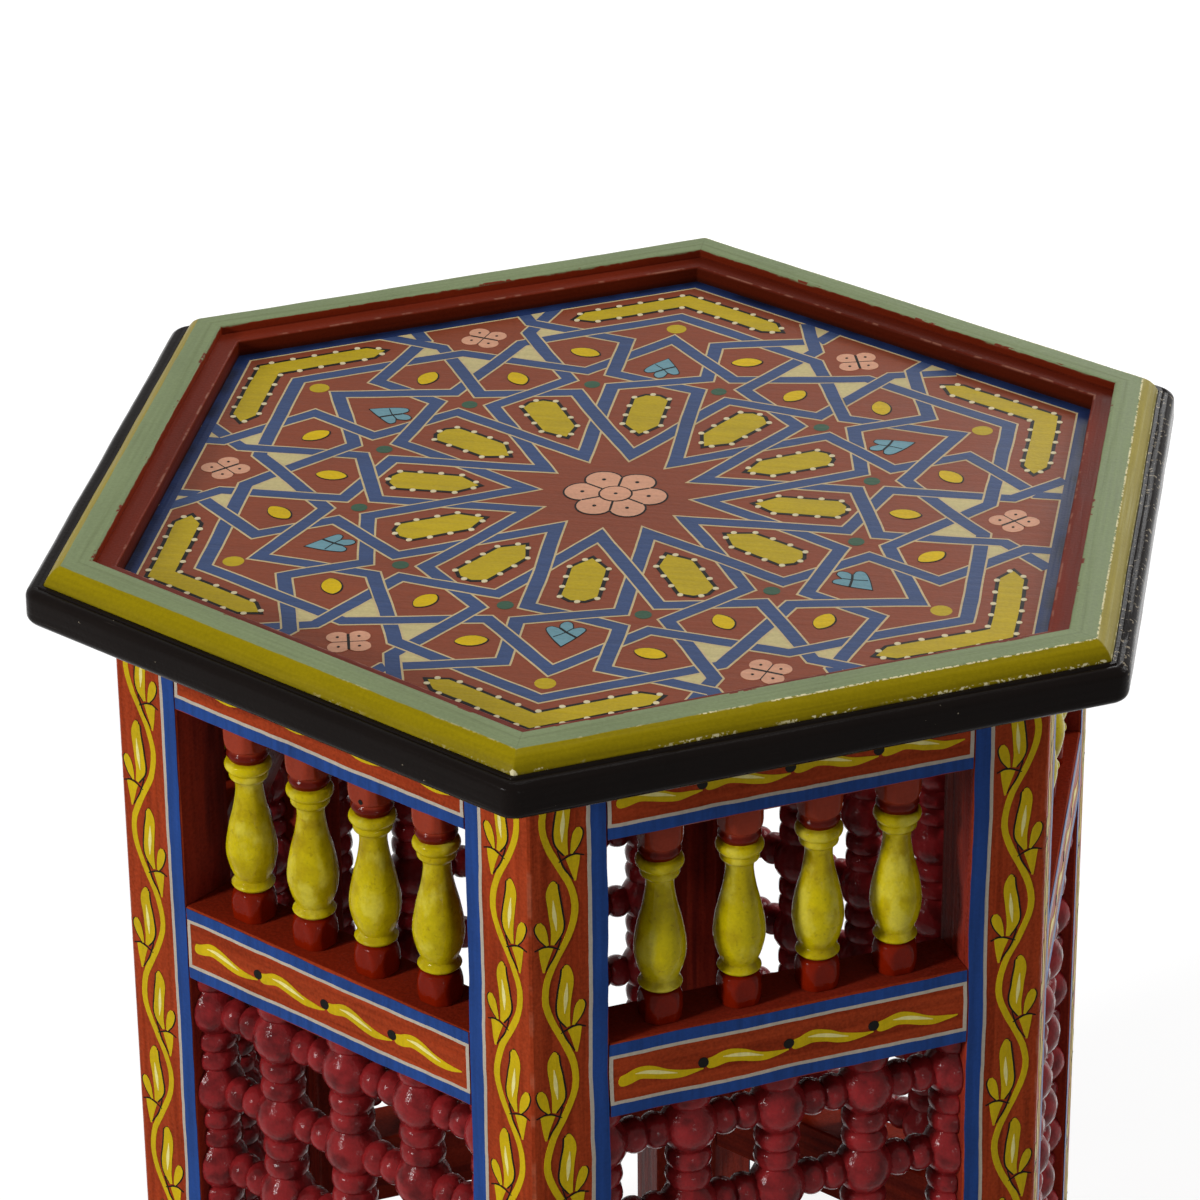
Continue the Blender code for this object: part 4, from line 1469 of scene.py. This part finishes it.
def build_edge(bm):
    """A fillet beside the rim, a fine quirk, then the round nose."""
    inner = RECESS + RIM_TONGUE + GLUE_GAP
    rebate = SLOPE_OUT + GLUE_GAP
    fillet = rebate + FILLET_WIDTH
    plain = [(inner, PANEL_LOW), (inner, TONGUE_TOP), (rebate, TONGUE_TOP), (rebate, NOSE_TOP - 0.0001),
             (fillet, NOSE_TOP - 0.0001), (fillet + 0.0003, NOSE_TOP - 0.0006)]
    nose = []
    centre = NOSE_OUT - NOSE_RADIUS
    for start, end, middle in ((70, 0, NOSE_TOP - NOSE_RADIUS - 0.0001), (0, -90, PANEL_LOW + NOSE_RADIUS)):
        for i in range(NOSE_STEPS + 1):
            spot = polar(NOSE_RADIUS, math.radians(start + (end - start) * i / NOSE_STEPS))
            nose.append((centre + spot.x, middle + spot.y))
    loops = [ring(a, z, FILLET_CORNER) for a, z in plain] + [ring(a, z, NOSE_CORNER) for a, z in nose]
    add_loops(bm, loops, joined=True)


def top_edges():
    rim = new_piece("painted_rim", new_mesh("painted_rim", build_rim, smooth=35), rim_paint())
    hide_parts("rim_frame")
    edge = new_piece("black_edge", new_mesh("black_edge", build_edge, smooth=35), edge_paint())
    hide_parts("edge_moulding")


def paint_solids():
    """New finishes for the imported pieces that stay."""
    upright = body_paint("post_paint_red", STROKES_UPRIGHT)
    level = body_paint("rail_paint_red", STROKES_LEVEL)
    panel = panel_paint()
    for name, node in frame["nodes"].items():
        finish = panel if name == "top_panel" else upright if name.startswith("post") else level
        for slot in node.material_slots:
            slot.material = finish


# Camera and studio
IMAGE = 1200
FOCAL_PIXELS = 5227.37
SENSOR = 36.0
CAMERA_AZIMUTH = math.radians(9.76)
CAMERA_ELEVATION = math.radians(27.70)
CAMERA_ROLL = math.radians(0.56)
CAMERA_DISTANCE = 8.6087 * UNIT
CAMERA_AIM = Vector((0.0469 * UNIT, -0.4875 * UNIT, TABLE_TOP))


def add_camera():
    data = bpy.data.cameras.new("camera")
    data.sensor_width = SENSOR
    data.lens = FOCAL_PIXELS / IMAGE * SENSOR
    data.clip_start, data.clip_end = 0.05, 50.0
    camera = bpy.data.objects.new("camera", data)
    bpy.context.scene.collection.objects.link(camera)
    level = polar(math.cos(CAMERA_ELEVATION), CAMERA_AZIMUTH)
    back = Vector((level.y, -level.x, math.sin(CAMERA_ELEVATION)))
    right = Vector((math.cos(CAMERA_AZIMUTH), math.sin(CAMERA_AZIMUTH), 0.0))
    down = (-back).cross(right)
    tilted = right * math.cos(CAMERA_ROLL) + down * math.sin(CAMERA_ROLL)
    up = back.cross(tilted)
    camera.rotation_mode = "QUATERNION"
    camera.rotation_quaternion = Matrix((tilted, up, back)).transposed().to_quaternion()
    camera.location = CAMERA_AIM + back * CAMERA_DISTANCE
    bpy.context.scene.camera = camera


LAMP_AIM = Vector((0.0, 0.0, 0.40))
LAMPS = (
    ("key", (-1.9, -1.85, 1.3), 0.45, 50.0),
    ("back", (2.0, 1.2, 1.7), 0.9, 30.0),
    ("top", (0.1, 0.2, 3.0), 1.6, 22.0),
    ("front", (1.3, -2.3, 0.50), 0.20, 4.0),
    ("sheen", (0.15, 1.84, 1.35), 0.5, 4.0),
)


def add_lamp(name, location, size, power):
    data = bpy.data.lights.new(name, "AREA")
    data.shape = "DISK"
    data.size = size
    data.energy = power
    lamp = bpy.data.objects.new(name, data)
    lamp.location = location
    lamp.rotation_euler = (LAMP_AIM - Vector(location)).to_track_quat("-Z", "Y").to_euler()
    bpy.context.scene.collection.objects.link(lamp)


FLOOR_REACH = 9.0
FLOOR_AROUND = 64
FLOOR_THICKNESS = 0.01
FLOOR_GREY = 0.46
GLOW_NEAR = 0.64
GLOW_START, GLOW_END = 0.5, 2.2
WORLD_LIGHT = 0.15
WHITE = (1.0, 1.0, 1.0, 1.0)


def add_floor():
    """A pale floor that shows white, with the table's shadow on it."""
    outline = disc((0.0, 0.0), FLOOR_REACH, FLOOR_AROUND)
    loops = [[Vector((*point, height)) for point in outline] for height in (0.0, -FLOOR_THICKNESS)]
    mesh = new_mesh("floor", lambda bm: add_loops(bm, loops, joined=False))
    floor = bpy.data.objects.new("floor", mesh)
    bpy.context.scene.collection.objects.link(floor)
    finish = Finish("floor_white")
    finish.set("Base Color", (FLOOR_GREY, FLOOR_GREY, FLOOR_GREY, 1.0))
    finish.set("Roughness", 0.9)
    finish.set("Specular IOR Level", 0.0)
    away = finish.distance(finish.place(), (0.0, 0.0, 0.0))
    glow = GLOW_NEAR + (1.0 - GLOW_NEAR) * finish.step(away, GLOW_START, GLOW_END)
    finish.set("Emission Color", finish.scaled(WHITE[:3], glow * finish.straight()))
    finish.set("Emission Strength", 1.0)
    mesh.materials.append(finish.material)


def add_world():
    world = bpy.data.worlds.new("studio")
    world.use_nodes = True
    nodes = Nodes(world.node_tree)
    light, white = [nodes.node("ShaderNodeBackground", {}, {"Color": WHITE, "Strength": strength})
                    for strength in (WORLD_LIGHT, 1.0)]
    shader = nodes.node("ShaderNodeMixShader", {}, {0: nodes.straight(), 1: light, 2: white})
    nodes.show("World Output", shader)
    bpy.context.scene.world = world


def add_studio():
    add_floor()
    add_world()
    for lamp in LAMPS:
        add_lamp(*lamp)


def main():
    paint_solids()
    top_edges()
    panel_painting()
    body_painting()
    turned_spindles()
    nail_hole()
    turned_lattices()
    add_camera()
    add_studio()
    bpy.context.scene.view_settings.view_transform = "Standard"


main()
